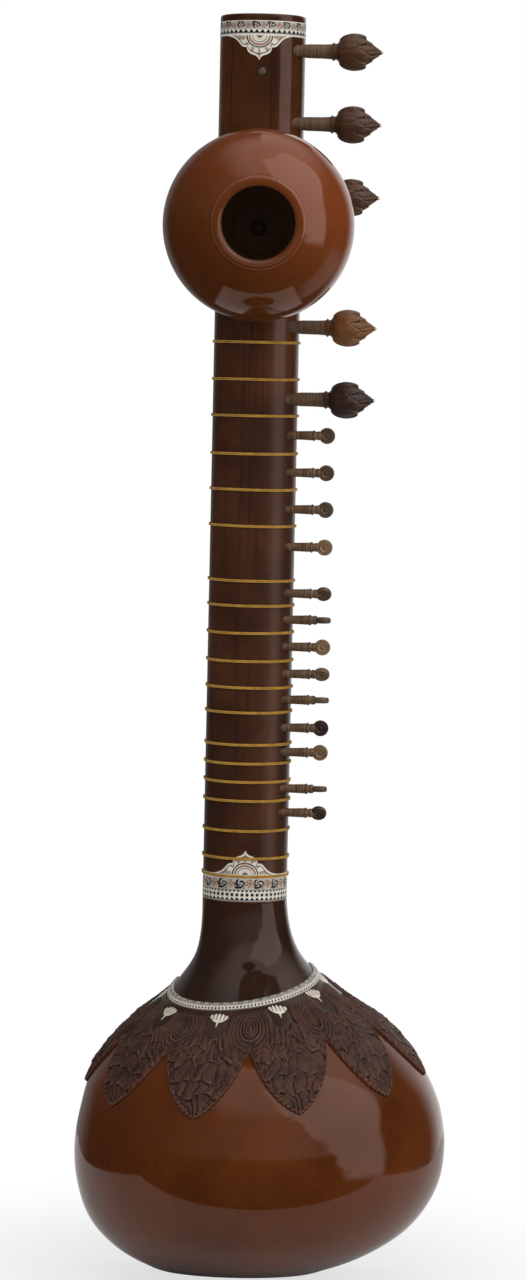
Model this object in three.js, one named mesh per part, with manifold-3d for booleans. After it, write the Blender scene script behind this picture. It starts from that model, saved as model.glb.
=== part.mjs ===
// A seven-string sitar with thirteen sympathetic strings, stood upright on the flat of its gourd.
// Millimetres. +Z runs up the neck, +X toward the side pegs, +Y out of the fingerboard's face.
// The origin is the middle of the flat under the gourd, straight below the neck's centre plane.
import * as THREE from 'three';
import { mergeVertices } from 'three/addons/utils/BufferGeometryUtils.js';
import Module from 'manifold-3d';

const wasm = await Module();
wasm.setup();

// Driving sizes of the whole instrument
const bridgeStation = 204.6; // height of the main bridge's crest over the ground
const scaleLength = 861; // open string, bridge to nut
const headLength = 234.4; // neck above the nut
const neckFootShare = 0.2095; // of the open string, from the bridge up to the neck's foot
const neckWidth = 88;
const neckDepth = 45;
const neckWall = 7;
const gourdWidth = 382;
const gourdDepth = 250;
const gourdWall = 7;
const gourdFloor = 6;
const seatGap = 0.3; // between pieces that touch
const runningGap = 0.4; // round a shaft that turns
const overrun = 5; // how far a cut reaches past what it cuts
const neckFootHeight = bridgeStation + neckFootShare * scaleLength; // where the carved joint begins
const nutStation = bridgeStation + scaleLength;
const overallHeight = nutStation + headLength;
const halfNeck = neckWidth / 2;
const halfGourd = gourdWidth / 2;

// Finishes, as the photograph shows them
const finishes = {
  lacquer: { color: 0x4e2a16, roughness: 0.18, metalness: 0 },
  darkLacquer: { color: 0x33231c, roughness: 0.2, metalness: 0 },
  neckLacquer: { color: 0x3d2417, roughness: 0.2, metalness: 0 },
  gourdLacquer: { color: 0x72432f, roughness: 0.2, metalness: 0 },
  carvedWood: { color: 0x442e28, roughness: 0.5, metalness: 0 },
  pegWood: { color: 0x57422d, roughness: 0.5, metalness: 0 },
  budWood: { color: 0x3a2418, roughness: 0.55, metalness: 0 },
  bone: { color: 0xcfc7b8, roughness: 0.4, metalness: 0 },
  spruce: { color: 0xb98a52, roughness: 0.3, metalness: 0 },
  brass: { color: 0xb9913f, roughness: 0.3, metalness: 1 },
  steel: { color: 0xb4b6b8, roughness: 0.25, metalness: 1 },
};

// Solids and skins

function solidOf(geometry) {
  const bare = geometry.clone();
  bare.deleteAttribute('normal');
  bare.deleteAttribute('uv');
  const merged = mergeVertices(bare);
  const vertProperties = new Float32Array(merged.attributes.position.array);
  const triVerts = new Uint32Array(merged.index.array);
  return new wasm.Manifold(new wasm.Mesh({ numProp: 3, vertProperties, triVerts }));
}

function geometryOf(solid) {
  const mesh = solid.getMesh();
  const geometry = new THREE.BufferGeometry();
  geometry.setAttribute('position', new THREE.BufferAttribute(mesh.vertProperties, mesh.numProp));
  geometry.setIndex(new THREE.BufferAttribute(mesh.triVerts, 1));
  geometry.computeVertexNormals();
  return geometry;
}

// A skin over rings of equal count. An open run of rings gets a flat cap on each end, laced
// across from one side to the other, and a closed run joins its last ring to its first.
function loft(rings, closed = false) {
  const count = rings[0].length;
  const faces = [];
  const steps = closed ? rings.length : rings.length - 1;
  for (let step = 0; step < steps; step++) {
    const low = step * count;
    const high = ((step + 1) % rings.length) * count;
    for (let side = 0; side < count; side++) {
      const next = (side + 1) % count;
      faces.push(low + side, low + next, high + next, low + side, high + next, high + side);
    }
  }
  if (!closed) {
    const last = (rings.length - 1) * count;
    for (let left = 0; left < count - 2 - left; left++) {
      const right = count - 1 - left;
      faces.push(left, right, left + 1, last + left, last + left + 1, last + right);
      if (left + 1 < right - 1) {
        faces.push(left + 1, right, right - 1, last + left + 1, last + right - 1, last + right);
      }
    }
  }
  const geometry = new THREE.BufferGeometry();
  geometry.setFromPoints(rings.flat());
  geometry.setIndex(faces);
  geometry.computeVertexNormals();
  return geometry;
}

// Rings round the local Z axis, from rows of height, half breadth and half thickness
function turning(rows, sides, bulge = () => 1) {
  return loft(rows.map(([height, breadth, thickness = breadth, lift = 0]) => {
    const ring = [];
    for (let side = 0; side < sides; side++) {
      const angle = (2 * Math.PI * side) / sides;
      const swell = 1 + lift * bulge(side);
      ring.push(new THREE.Vector3(
        breadth * swell * Math.cos(angle),
        thickness * swell * Math.sin(angle),
        height,
      ));
    }
    return ring;
  }));
}

// A wire through the given points, mitred at each bend
function wire(points, radius, sides) {
  const across = new THREE.Vector3(1, 0, 0);
  return loft(points.map((point, index) => {
    const before = points[Math.max(index - 1, 0)];
    const after = points[Math.min(index + 1, points.length - 1)];
    const into = point.clone().sub(before).normalize();
    const out = after.clone().sub(point).normalize();
    const along = into.add(out).normalize();
    const first = new THREE.Vector3().crossVectors(along, across).normalize();
    const second = new THREE.Vector3().crossVectors(along, first);
    const ring = [];
    for (let side = 0; side < sides; side++) {
      const angle = (2 * Math.PI * side) / sides;
      ring.push(point.clone()
        .addScaledVector(first, radius * Math.cos(angle))
        .addScaledVector(second, radius * Math.sin(angle)));
    }
    return ring;
  }));
}

// Straight pieces that stand for each curve of an outline
const fineSteps = 12;
const hollowSteps = 8;
const middleSteps = 5;
const fewSteps = 3;

function extruded(shape, depth, curveSegments) {
  return new THREE.ExtrudeGeometry(shape, { depth, bevelEnabled: false, curveSegments });
}

// An outline across the neck, carried up from one station to another
function upright(shape, from, to, curveSegments = fineSteps) {
  return extruded(shape, to - from, curveSegments).translate(0, 0, from);
}

// An outline seen from the front, carried back from one depth to another
function frontal(shape, from, to, curveSegments) {
  return extruded(shape, from - to, curveSegments).rotateX(Math.PI / 2).translate(0, from, 0);
}

// A round rod or cone across the neck (along X) or through it (along Y)
function acrossRod(from, to, fromRadius, toRadius, sides, depth, station) {
  const geometry = new THREE.CylinderGeometry(toRadius, fromRadius, to - from, sides);
  geometry.rotateZ(-Math.PI / 2);
  return geometry.translate((from + to) / 2, depth, station);
}

function throughRod(from, to, fromRadius, toRadius, sides, across, station) {
  const geometry = new THREE.CylinderGeometry(toRadius, fromRadius, to - from, sides);
  return geometry.translate(across, (from + to) / 2, station);
}

function block(width, depth, height) {
  return new THREE.BoxGeometry(width, depth, height);
}

const instrument = new THREE.Group();

function place(name, geometry, finish, parent = instrument) {
  const mesh = new THREE.Mesh(geometry, new THREE.MeshStandardMaterial(finish));
  mesh.name = name;
  parent.add(mesh);
  return mesh;
}

// The bowl and the joint above it share one swelling form, given by level sections.
// Each section is a half oval behind its widest line and another in front of it.
// Shares: height of the neck's foot; width, shift to the peg side and depth between the
// neck's size (0) and the gourd's (1); then the widest line's depth and the front oval.
const bodyShares = [
  [0, 0.19, 0, 0.19, 0.643, 0.452],
  [0.008, 0.272, 0, 0.249, 0.573, 0.458],
  [0.031, 0.381, 0.007, 0.415, 0.446, 0.4],
  [0.078, 0.599, 0.041, 0.65, 0.359, 0.449],
  [0.156, 0.83, 0.088, 0.849, 0.32, 0.511],
  [0.26, 0.966, 0.129, 0.966, 0.305, 0.597],
  [0.364, 1, 0.143, 1, 0.304, 0.64],
  [0.468, 0.963, 0.15, 0.966, 0.305, 0.679],
  [0.558, 0.878, 0.136, 0.873, 0.304, 0.714],
  [0.636, 0.728, 0.133, 0.722, 0.3, 0.751],
  [0.701, 0.544, 0.129, 0.546, 0.299, 0.796],
  [0.753, 0.333, 0.102, 0.376, 0.303, 0.861],
  [0.792, 0.214, 0.071, 0.254, 0.309, 0.928],
  [0.844, 0.088, 0.041, 0.122, 0.314, 1.07],
  [0.909, 0.024, 0.017, 0.034, 0.27, 1.154],
  [1, 0, 0, 0, 0.133, 1.02],
];
const bodySides = 24;
const hollowSides = 16;
const bodyHeights = bodyShares.map(([height]) => height * neckFootHeight);
const bodyValues = bodyShares.flatMap(([, width, shift, depth, centre, front]) => {
  const sectionDepth = neckDepth + depth * (gourdDepth - neckDepth);
  return [
    halfNeck + width * (halfGourd - halfNeck),
    shift * (halfGourd - halfNeck),
    sectionDepth,
    centre * sectionDepth,
    front * sectionDepth,
  ];
});
const bodyCurve = new THREE.CubicInterpolant(bodyHeights, bodyValues, 5);

function sectionAt(height) {
  const [halfWidth, shift, depth, centre, front] = bodyCurve.evaluate(height);
  return { halfWidth, shift, depth, centre, front };
}

function bodyPoint(height, angle, grow) {
  const { halfWidth, shift, depth, centre, front } = sectionAt(height);
  const lift = Math.sin(angle);
  const reach = lift > 0 ? front : depth - centre;
  return new THREE.Vector3(
    shift + (halfWidth + grow) * Math.cos(angle),
    (reach + grow) * lift - centre,
    height,
  );
}

function bodySolid(heights, grow, sides = bodySides) {
  return solidOf(loft(heights.map((height) => {
    const ring = [];
    for (let side = 0; side < sides; side++) {
      ring.push(bodyPoint(height, (2 * Math.PI * side) / sides, grow));
    }
    return ring;
  })));
}

// The face of the fingerboard stands this far in front of the middle of the flat
const faceSetback = sectionAt(0).centre;
instrument.position.y = faceSetback;

// The soundboard closes the bowl and the joint in front
const plateThickness = 6; // the fingerboard's, which stands proud of the soundboard
const soundboardThickness = 4;
const soundboardFootShare = 0.04; // of the gourd's depth, up to its lowest edge
const soundboardFoot = soundboardFootShare * gourdDepth;
const soundboardCrown = 5;
const soundboardSpans = 6;
const soundboardBack = plateThickness + soundboardThickness;
const rimDepth = soundboardBack + seatGap;

function soundboardCrownAt(across, height) {
  const climb = (height - soundboardFoot) / (neckFootHeight - soundboardFoot);
  return soundboardCrown * (1 - across * across) * Math.sqrt(Math.sin(Math.PI * climb));
}

function soundboardHalf(height) {
  const { halfWidth, centre, front } = sectionAt(height);
  const reach = (centre - plateThickness - soundboardThickness / 2) / front;
  return halfWidth * Math.sqrt(1 - reach * reach);
}

// Height of the soundboard's face over the fingerboard's plane at a given place
function soundboardFace(x, height) {
  const across = (x - sectionAt(height).shift) / soundboardHalf(height);
  return soundboardCrownAt(across, height) - plateThickness;
}

const soundboardHeightShares = [
  0, 0.012, 0.034, 0.07, 0.13, 0.24, 0.35, 0.45, 0.55, 0.63, 0.69, 0.75, 0.79, 0.84, 0.91, 1,
];
const soundboardTop = neckFootHeight - seatGap;
place('soundboard', loft(soundboardHeightShares.map((share) => {
  const height = soundboardFoot + share * (soundboardTop - soundboardFoot);
  const half = soundboardHalf(height);
  const shift = sectionAt(height).shift;
  const face = [];
  const back = [];
  for (let span = 0; span <= soundboardSpans; span++) {
    const across = 1 - (2 * span) / soundboardSpans;
    const crown = share < 1 ? soundboardCrownAt(across, height) : 0;
    face.push(new THREE.Vector3(shift + across * half, crown - plateThickness, height));
    back.unshift(new THREE.Vector3(shift + across * half, crown - soundboardBack, height));
  }
  return [...face, ...back];
})), finishes.spruce);

// The seam where the carved joint meets the gourd leans back and down on the left
const seamHeightShare = 0.8026;
const seamSideLean = 0.116; // rise per unit toward the pegs
const seamBackLean = 0.153; // rise per unit toward the face
const seamHeight = seamHeightShare * neckFootHeight;
const cutSize = 2 * gourdWidth;
const seamUp = new THREE.Vector3(-seamSideLean, -seamBackLean, 1).normalize();
const seamTurn = new THREE.Quaternion().setFromUnitVectors(new THREE.Vector3(0, 0, 1), seamUp);

// A leaning slab whose faces lie the given distances above the seam
function seamSlab(from, to) {
  const slab = block(cutSize, cutSize, to - from).translate(0, 0, (from + to) / 2);
  return solidOf(slab.applyQuaternion(seamTurn).translate(0, 0, seamHeight));
}

const frontCut = solidOf(block(cutSize, cutSize, cutSize)
  .translate(0, cutSize / 2 - rimDepth, cutSize / 4));
const innerHeights = [
  gourdFloor,
  ...bodyHeights.filter((height) => height > 2 * gourdFloor),
  neckFootHeight + overrun,
];
const bodyShell = bodySolid(bodyHeights, 0)
  .subtract(bodySolid(innerHeights, -gourdWall, hollowSides))
  .subtract(frontCut);
place('gourd_bowl', geometryOf(bodyShell.subtract(seamSlab(-seatGap / 2, cutSize / 2))), finishes.lacquer);

// The joint takes the neck's tenon in its open top, and ends a gap below the neck's shoulder
const tenonLength = 25;
const tenonBlock = 20; // how far the tenon's block fills the neck's hollow
const tenonClearance = 1.2;
const shoulderCut = solidOf(block(cutSize, cutSize, 2 * seatGap).translate(0, 0, neckFootHeight));
place('neck_joint', geometryOf(bodyShell
  .subtract(seamSlab(-cutSize / 2, seatGap / 2))
  .subtract(shoulderCut)), finishes.darkLacquer);

// The inlaid ring over the seam
const ringWidth = 6;
const ringSeat = 0.7; // clear of the lacquer, measured level
const ringProud = 2.8;
const shoulderHeights = bodyHeights.filter((height) => height > neckFootHeight / 4);
place('shoulder_ring', geometryOf(bodySolid(shoulderHeights, ringProud)
  .subtract(bodySolid(shoulderHeights, ringSeat))
  .intersect(seamSlab(-ringWidth / 2, ringWidth / 2))
  .subtract(frontCut)), finishes.bone);

// The carved leaves hang from the ring round the gourd's shoulder
const leafCount = 6;
const leafColumns = 8;
const leafRows = 4;
const leafStart = THREE.MathUtils.degToRad(163);
const leafSweep = THREE.MathUtils.degToRad(34.2);
const leafRise = 4.6; // thickness at the midrib, measured level
const leafEdge = 2.6; // thickness at the edges
const leafValley = 34; // how far the gaps between the leaves lie below the ring
const leafTip = 92; // how far the tips lie below the ring
const leafTooth = 3;
const leafBow = 1.5; // power of the curve from tip to valley
const seamPasses = 12;

// Where the seam, or a line the given distance below it, meets the wall at an angle
function seamHeightAt(angle, below) {
  let height = seamHeight;
  for (let pass = 0; pass < seamPasses; pass++) {
    const point = bodyPoint(height, angle, 0);
    height = seamHeight + seamSideLean * point.x + seamBackLean * point.y - below;
  }
  return height;
}

const leafRings = [];
for (let column = 0; column <= leafCount * leafColumns; column++) {
  const angle = leafStart + (leafSweep * column) / leafColumns;
  const aside = Math.abs((2 * (column % leafColumns)) / leafColumns - 1);
  const tooth = column % 2 === 1 ? leafTooth : 0;
  const top = seamHeightAt(angle, ringWidth / 2);
  const drop = leafValley + (leafTip - leafValley) * (1 - aside ** leafBow) - tooth;
  const rise = leafEdge + (leafRise - leafEdge) * (1 - aside);
  const outer = [];
  const inner = [];
  for (let row = 0; row <= leafRows; row++) {
    const height = top - (drop * row) / leafRows;
    outer.push(bodyPoint(height, angle, ringSeat + rise));
    inner.unshift(bodyPoint(height, angle, -gourdWall));
  }
  leafRings.push([...outer, ...inner]);
}
place('leaf_garland', geometryOf(solidOf(loft(leafRings))
  .subtract(bodySolid(shoulderHeights, ringSeat))
  .subtract(seamSlab(-ringWidth / 2 - seatGap, cutSize / 4))
  .subtract(frontCut)), finishes.carvedWood);

// Outline of the neck from its face down round the back
function neckSection(grow, top) {
  const shape = new THREE.Shape();
  const half = halfNeck + grow;
  shape.moveTo(-half, top);
  if (top > -plateThickness) shape.lineTo(-half, -plateThickness);
  const depth = neckDepth - plateThickness + grow;
  shape.absellipse(0, -plateThickness, half, depth, Math.PI, 2 * Math.PI, false);
  if (top > -plateThickness) shape.lineTo(half, top);
  shape.closePath();
  return shape;
}

// Frets: notes sounded above the open string, in semitones, as the photograph has them set
const fretNotes = [1.1, 2.14, 3.03, 3.95, 4.97, 5.99, 7.09, 8.89, 9.78, 10.81, 11.94, 13.08,
  14.22, 15.82, 16.83, 17.88, 19.03, 21.03, 23.09, 24.58];
const notesPerOctave = 12;

function fretStation(note) {
  return bridgeStation + scaleLength * 2 ** (-note / notesPerOctave);
}

const fretStations = fretNotes.map(fretStation);

// A place counted in frets from the top: 4.5 is half way from the fourth fret to the fifth
function betweenFrets(count) {
  const above = Math.floor(count);
  return THREE.MathUtils.lerp(fretStations[above - 1], fretStations[above], count - above);
}

// Pegs: side pegs lie across the hollow neck, face pegs pass through it from front to back
const pegDepth = 27; // below the face
const headSidePegShares = [0.154, 0.4695, 0.786];
const facePegShares = [0.249, 0.576];
const droneFretShares = [1.65, 3.52];
const tarafFretShares = [
  4.49, 5.5, 6.52, 7.37, 8.49, 9.5, 10.48, 11.47, 12.48, 13.47, 14.4, 16.36, 17.4,
];
const sidePegStations = [
  ...headSidePegShares.map((share) => overallHeight - share * headLength),
  ...droneFretShares.map(betweenFrets),
];
const facePegStations = facePegShares.map((share) => overallHeight - share * headLength);
const tarafPegStations = tarafFretShares.map(betweenFrets);

const pegSides = 12;
const pegHoleSides = 8;
const pegTip = -31.5; // end of the shaft, from the neck's centre plane
const pegTipRadius = 4.5;
const pegExit = 41; // where the shaft leaves the neck
const pegExitRadius = 6.5;
const pegSocket = -32; // floor of the blind hole in the far wall
const pegCollar = 75; // from the neck's centre plane
const pegCollarRadius = 8;
const budLength = 49;
const budRadius = 19.2;
const petalLiftShare = 0.06;

// Rows of the lotus bud as shares of its length and radius, with its petals' swelling
const budShares = [
  [0, 0.48, 0],
  [0.05, 0.4, 0],
  [0.12, 0.5, 0],
  [0.22, 0.82, 0.5],
  [0.4, 0.97, 1],
  [0.6, 1, 1],
  [0.63, 0.8, 0.6],
  [0.77, 0.64, 1],
  [0.79, 0.45, 0.5],
  [0.92, 0.16, 0],
  [1, 0.08, 0],
];

function lotusPeg(shaftLength) {
  const shaft = [
    [pegCollar - shaftLength, pegTipRadius],
    [pegExit, pegExitRadius],
    [pegCollar, pegCollarRadius],
  ];
  const bud = budShares.map(([along, across, petals]) => [
    pegCollar + along * budLength,
    across * budRadius,
    across * budRadius,
    petals * petalLiftShare,
  ]);
  return turning([...shaft, ...bud], pegSides, (side) => (side % 2 === 0 ? 1 : -1));
}

const tarafSides = 8;
const tarafHoleSides = 6;
const tarafTip = 20;
const tarafTipRadius = 3.6;
const tarafExitRadius = 4.3;
const tarafCollar = 61;
const tarafCollarRadius = 4.8;
const tarafHeadLength = 22.3;
const tarafHeadRadius = 8.4;

// Rows of the flat round head as shares of its length, half breadth and half thickness
const tarafHeadShares = [
  [0.07, 0.67, 0.67],
  [0.15, 0.55, 0.55],
  [0.3, 0.76, 0.42],
  [0.5, 1, 0.33],
  [0.7, 1, 0.36],
  [0.88, 0.66, 0.42],
  [1, 0.2, 0.2],
];

function spoonPeg() {
  const rows = [
    [tarafTip, tarafTipRadius],
    [pegExit, tarafExitRadius],
    [tarafCollar, tarafCollarRadius],
    ...tarafHeadShares.map(([along, breadth, thickness]) => [
      tarafCollar + along * tarafHeadLength,
      breadth * tarafHeadRadius,
      thickness * tarafHeadRadius,
    ]),
  ];
  return turning(rows, tarafSides);
}

// Hole reamed to a peg's taper, clear of it by the running gap at any turn
function reamed(radius, sides) {
  return (radius + runningGap) / Math.cos(Math.PI / sides);
}

function reamedAcross(from, fromRadius, exitRadius, sides, station) {
  const wide = reamed(exitRadius, sides);
  return solidOf(acrossRod(
    from, pegExit + overrun, reamed(fromRadius, sides), wide, sides, -pegDepth, station,
  ));
}

sidePegStations.forEach((station, index) => {
  const mesh = place(`main_peg_${index + 1}`, lotusPeg(pegCollar - pegTip), finishes.budWood);
  mesh.position.set(0, -pegDepth, station);
  mesh.rotation.y = Math.PI / 2;
});

// A face peg ends flush with the neck's back, and its collar stands clear of the face
const facePegCollar = 38; // over the face
const facePegLength = facePegCollar + neckDepth - seatGap;
facePegStations.forEach((station, index) => {
  const number = sidePegStations.length + index + 1;
  const mesh = place(`main_peg_${number}`, lotusPeg(facePegLength), finishes.budWood);
  mesh.position.set(0, facePegCollar - pegCollar, station);
  mesh.rotation.x = -Math.PI / 2;
});

// How far each sympathetic peg was left turned from lying flat to the back, in half turns
const tarafTurnShares = [0, 0.04, -0.04, 0, 0.22, 0.5, 0, 0.24, 0.46, 0, 0.03, 0.47, 0.2];
tarafPegStations.forEach((station, index) => {
  const number = String(index + 1).padStart(2, '0');
  const mesh = place(`taraf_peg_${number}`, spoonPeg(), finishes.pegWood);
  mesh.position.set(0, -pegDepth, station);
  mesh.rotation.set(0, Math.PI / 2, tarafTurnShares[index] * Math.PI);
});

// Strings: where the windings and holes lie
const mainWireRadius = 0.45;
const tarafWireRadius = 0.4;
const stringHoleRadius = 2.7;
const stringHoleSides = 6;
const holeLead = 8; // a string's hole lies this far below its peg
const tarafHoleFirst = 26; // lowest hole, from the centre line toward the pegs
const tarafHoleStep = 3.3;
const tarafHoles = tarafPegStations.map((station, index) => {
  const order = tarafPegStations.length - 1 - index;
  return { x: tarafHoleFirst - tarafHoleStep * order, station: station - holeLead };
});
const headHoleOffsets = [-18, 16, 15]; // for side pegs 1 to 3, from the centre line
const droneHoleOffset = 31;
const droneShaftShare = 0.7; // where the drone string meets its shaft, of the hole's offset
const droneHoleRise = 10; // over the post that the string bends round
const dronePostDrops = [40, 40]; // posts below their pegs
const dronePostStations = dronePostDrops.map((drop, index) => sidePegStations[3 + index] - drop);
const mainHoles = [
  ...headHoleOffsets.map((x, index) => ({ x, station: sidePegStations[index] - holeLead })),
  ...dronePostStations.map((station) => ({ x: droneHoleOffset, station: station + droneHoleRise })),
];

// Neck: a hollow trough closed at the head by a solid end and stopped at the foot by the tenon
const endBlock = 14;
const capHeight = 7; // the bare end above the inlaid band
const boltStationShare = 0.93;
const boltStation = overallHeight - boltStationShare * headLength;
const boltRadius = 4;
const boltSides = 12;
const troughTop = -plateThickness - seatGap;
const bandThickness = 1.5;
const headBandWidth = 16;
const footBandWidth = 28;
const footBandBase = neckFootHeight + 2;
const headBandTop = overallHeight - capHeight;
const headBandBase = headBandTop - headBandWidth;
const footBandTop = footBandBase + footBandWidth;
const pendantWidth = 56;
const pendantReach = 25;

// The pendant's scalloped edge from its shoulder to its tip: the control and the end of each
// curve, as shares of its half width and of its reach
const pendantShares = [
  [[0.7, 0.1], [0.64, 0.4]],
  [[0.42, 0.5], [0.34, 0.74]],
  [[0.1, 0.8], [0, 1]],
];

// The band's straight edges with a scalloped lotus pendant on one of them
function bandOutline(base, top, edge, toward, grow) {
  const wide = halfNeck + overrun;
  const shape = new THREE.Shape();
  const half = pendantWidth / 2 + grow;
  const reach = toward * (pendantReach + grow);
  const far = toward > 0 ? base - grow : top + grow;
  const near = edge + toward * grow;
  shape.moveTo(-wide, far);
  shape.lineTo(-wide, near);
  shape.lineTo(-half, near);
  for (const [[bendX, bendY], [x, y]] of pendantShares) {
    shape.quadraticCurveTo(-half * bendX, edge + reach * bendY, -half * x, edge + reach * y);
  }
  for (let curve = pendantShares.length - 1; curve >= 0; curve--) {
    const [bendX, bendY] = pendantShares[curve][0];
    const [x, y] = curve > 0 ? pendantShares[curve - 1][1] : [1, (near - edge) / reach];
    shape.quadraticCurveTo(half * bendX, edge + reach * bendY, half * x, edge + reach * y);
  }
  shape.lineTo(wide, near);
  shape.lineTo(wide, far);
  shape.closePath();
  return shape;
}

// A thin half-round skin let into the neck, in the outline of a band
function bandSkin(base, top, edge, toward, grow) {
  const low = Math.min(base, edge + toward * pendantReach) - overrun;
  const high = Math.max(top, edge + toward * pendantReach) + overrun;
  const outer = solidOf(upright(neckSection(grow > 0 ? overrun : 0, 0), low, high));
  const inner = solidOf(upright(neckSection(-bandThickness - grow, 0), low, high));
  const outline = bandOutline(base, top, edge, toward, grow);
  const stencil = solidOf(frontal(outline, overrun, -2 * neckDepth, fewSteps));
  return outer.subtract(inner).intersect(stencil);
}

const headBand = [headBandBase, headBandTop, headBandBase, -1];
const footBand = [footBandBase, footBandTop, footBandTop, 1];
place('head_band', geometryOf(bandSkin(...headBand, 0)), finishes.bone);

const troughCut = solidOf(block(cutSize, cutSize, headBandTop + seatGap)
  .translate(0, cutSize / 2 + troughTop, (headBandTop + seatGap) / 2));
const neckBack = neckSection(0, -plateThickness);
let neck = solidOf(upright(neckBack, neckFootHeight, headBandTop + overrun)).subtract(troughCut);
neck = neck.add(solidOf(upright(neckSection(0, 0), headBandTop + seatGap, overallHeight)));
const hollowFoot = neckFootHeight + tenonBlock;
const hollowHead = overallHeight - endBlock - capHeight;
neck = neck.subtract(solidOf(upright(neckSection(-neckWall, 0), hollowFoot, hollowHead, hollowSteps)));
const tenonFront = solidOf(block(cutSize, cutSize, cutSize)
  .translate(0, cutSize / 2 - rimDepth - seatGap, neckFootHeight));
const tenonBack = neckSection(-neckWall - tenonClearance, -plateThickness);
const tenon = upright(tenonBack, neckFootHeight - tenonLength, neckFootHeight + overrun, hollowSteps);
neck = neck.add(solidOf(tenon).subtract(tenonFront));
neck = neck.subtract(bandSkin(...headBand, seatGap)).subtract(bandSkin(...footBand, seatGap));
for (const station of sidePegStations) {
  neck = neck.subtract(reamedAcross(pegSocket, pegTipRadius, pegExitRadius, pegHoleSides, station));
}
for (const station of tarafPegStations) {
  neck = neck.subtract(reamedAcross(tarafTip, tarafTipRadius, tarafExitRadius, tarafHoleSides, station));
}
const facePegFaceRadius = THREE.MathUtils.mapLinear(
  0, facePegCollar - facePegLength, facePegCollar - pegCollar + pegExit, pegTipRadius, pegExitRadius,
);
const facePegBack = reamed(pegTipRadius, pegHoleSides);
const facePegFront = reamed(facePegFaceRadius, pegHoleSides);
for (const station of facePegStations) {
  neck = neck.subtract(solidOf(throughRod(
    -neckDepth - overrun, overrun, facePegBack, facePegFront, pegHoleSides, 0, station,
  )));
}
const boltHole = reamed(boltRadius, boltSides);
neck = neck.subtract(solidOf(throughRod(
  -neckDepth - overrun, -neckDepth / 2, boltHole, boltHole, boltSides, 0, boltStation,
)));
place('neck', geometryOf(neck), finishes.neckLacquer);

// Fingerboard: the plate that closes the trough, drilled for strings and face pegs
const bindingWidth = 4;
const fingerboardHalf = halfNeck - bindingWidth - seatGap;
const fingerboardTop = headBandTop - seatGap;
let fingerboard = solidOf(block(2 * fingerboardHalf, plateThickness, fingerboardTop - neckFootHeight)
  .translate(0, -plateThickness / 2, (fingerboardTop + neckFootHeight) / 2));
for (const { x, station } of [...tarafHoles, ...mainHoles]) {
  fingerboard = fingerboard.subtract(solidOf(throughRod(
    -plateThickness - overrun, overrun, stringHoleRadius, stringHoleRadius, stringHoleSides, x, station,
  )));
}
for (const station of facePegStations) {
  fingerboard = fingerboard.subtract(solidOf(throughRod(
    -plateThickness - overrun, overrun, facePegFront, facePegFront, pegHoleSides, 0, station,
  )));
}
place('fingerboard', geometryOf(fingerboard), finishes.neckLacquer);

// Edge binding: a strip down each edge of the fingerboard, the band round the neck's foot,
// and the two posts that the drone strings bend round
const dronePostRadius = 1.8;
const dronePostSides = 6;
const dronePostHeight = 15.6;
const bindingTop = headBandBase - seatGap;
const bindingMiddle = (bindingTop + footBandBase) / 2;
let binding = bandSkin(...footBand, 0);
for (const side of [-1, 1]) {
  binding = binding.add(solidOf(block(bindingWidth, plateThickness, bindingTop - footBandBase)
    .translate(side * (halfNeck - bindingWidth / 2), -plateThickness / 2, bindingMiddle)));
}
for (const station of dronePostStations) {
  binding = binding.add(solidOf(throughRod(
    -plateThickness / 2, dronePostHeight, dronePostRadius, dronePostRadius, dronePostSides,
    halfNeck - bindingWidth / 2, station,
  )));
}
place('edge_binding', geometryOf(binding), finishes.bone);

// Frets: an arched brass rod over the face, tied round the back of the neck
const fretRodRadius = 2.6;
const fretFoot = 42.2; // half the rod's span
const fretArch = 9.6; // rise of the arch over its feet
const tieBreadth = 1.5; // half the two threads' breadth
const tieThickness = 0.6; // half their thickness
const tieSag = 1.6; // the flats between the tie's corners cut this much off the round
const fretSides = 5;
const rodSteps = 5;
const tieSteps = 6;

function fretLoop() {
  const stations = [];
  const add = (x, y, nx, ny, thick, broad) => stations.push({ x, y, nx, ny, thick, broad });
  const footHeight = fretRodRadius + seatGap;
  for (let step = 0; step <= rodSteps; step++) {
    const angle = (Math.PI * step) / rodSteps;
    const nx = Math.cos(angle);
    const ny = Math.sin(angle);
    add(fretFoot * nx, footHeight + fretArch * ny, nx, ny, fretRodRadius, fretRodRadius);
  }
  const away = seatGap + tieThickness;
  const shoulder = halfNeck + away;
  add(-shoulder, 2 * seatGap, -1, 0, tieThickness, tieBreadth);
  const deep = neckDepth - plateThickness;
  for (let step = 0; step <= tieSteps; step++) {
    const angle = Math.PI + (Math.PI * step) / tieSteps;
    const nx = Math.cos(angle);
    const ny = Math.sin(angle);
    const sag = step === 0 || step === tieSteps ? tieSag / 2 : tieSag;
    const x = (halfNeck + away + sag) * nx;
    const y = (deep + away + sag) * ny - plateThickness;
    add(x, y, nx, ny, tieThickness, tieBreadth);
  }
  add(shoulder, 2 * seatGap, 1, 0, tieThickness, tieBreadth);
  return loft(stations.map(({ x, y, nx, ny, thick, broad }) => {
    const ring = [];
    for (let side = 0; side < fretSides; side++) {
      const angle = (2 * Math.PI * side) / fretSides;
      const out = thick * Math.sin(angle);
      ring.push(new THREE.Vector3(x + nx * out, y + ny * out, broad * Math.cos(angle)));
    }
    return ring;
  }), true);
}

fretStations.forEach((station, index) => {
  const mesh = place(`fret_${String(index + 1).padStart(2, '0')}`, fretLoop(), finishes.brass);
  mesh.position.z = station;
});

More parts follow.
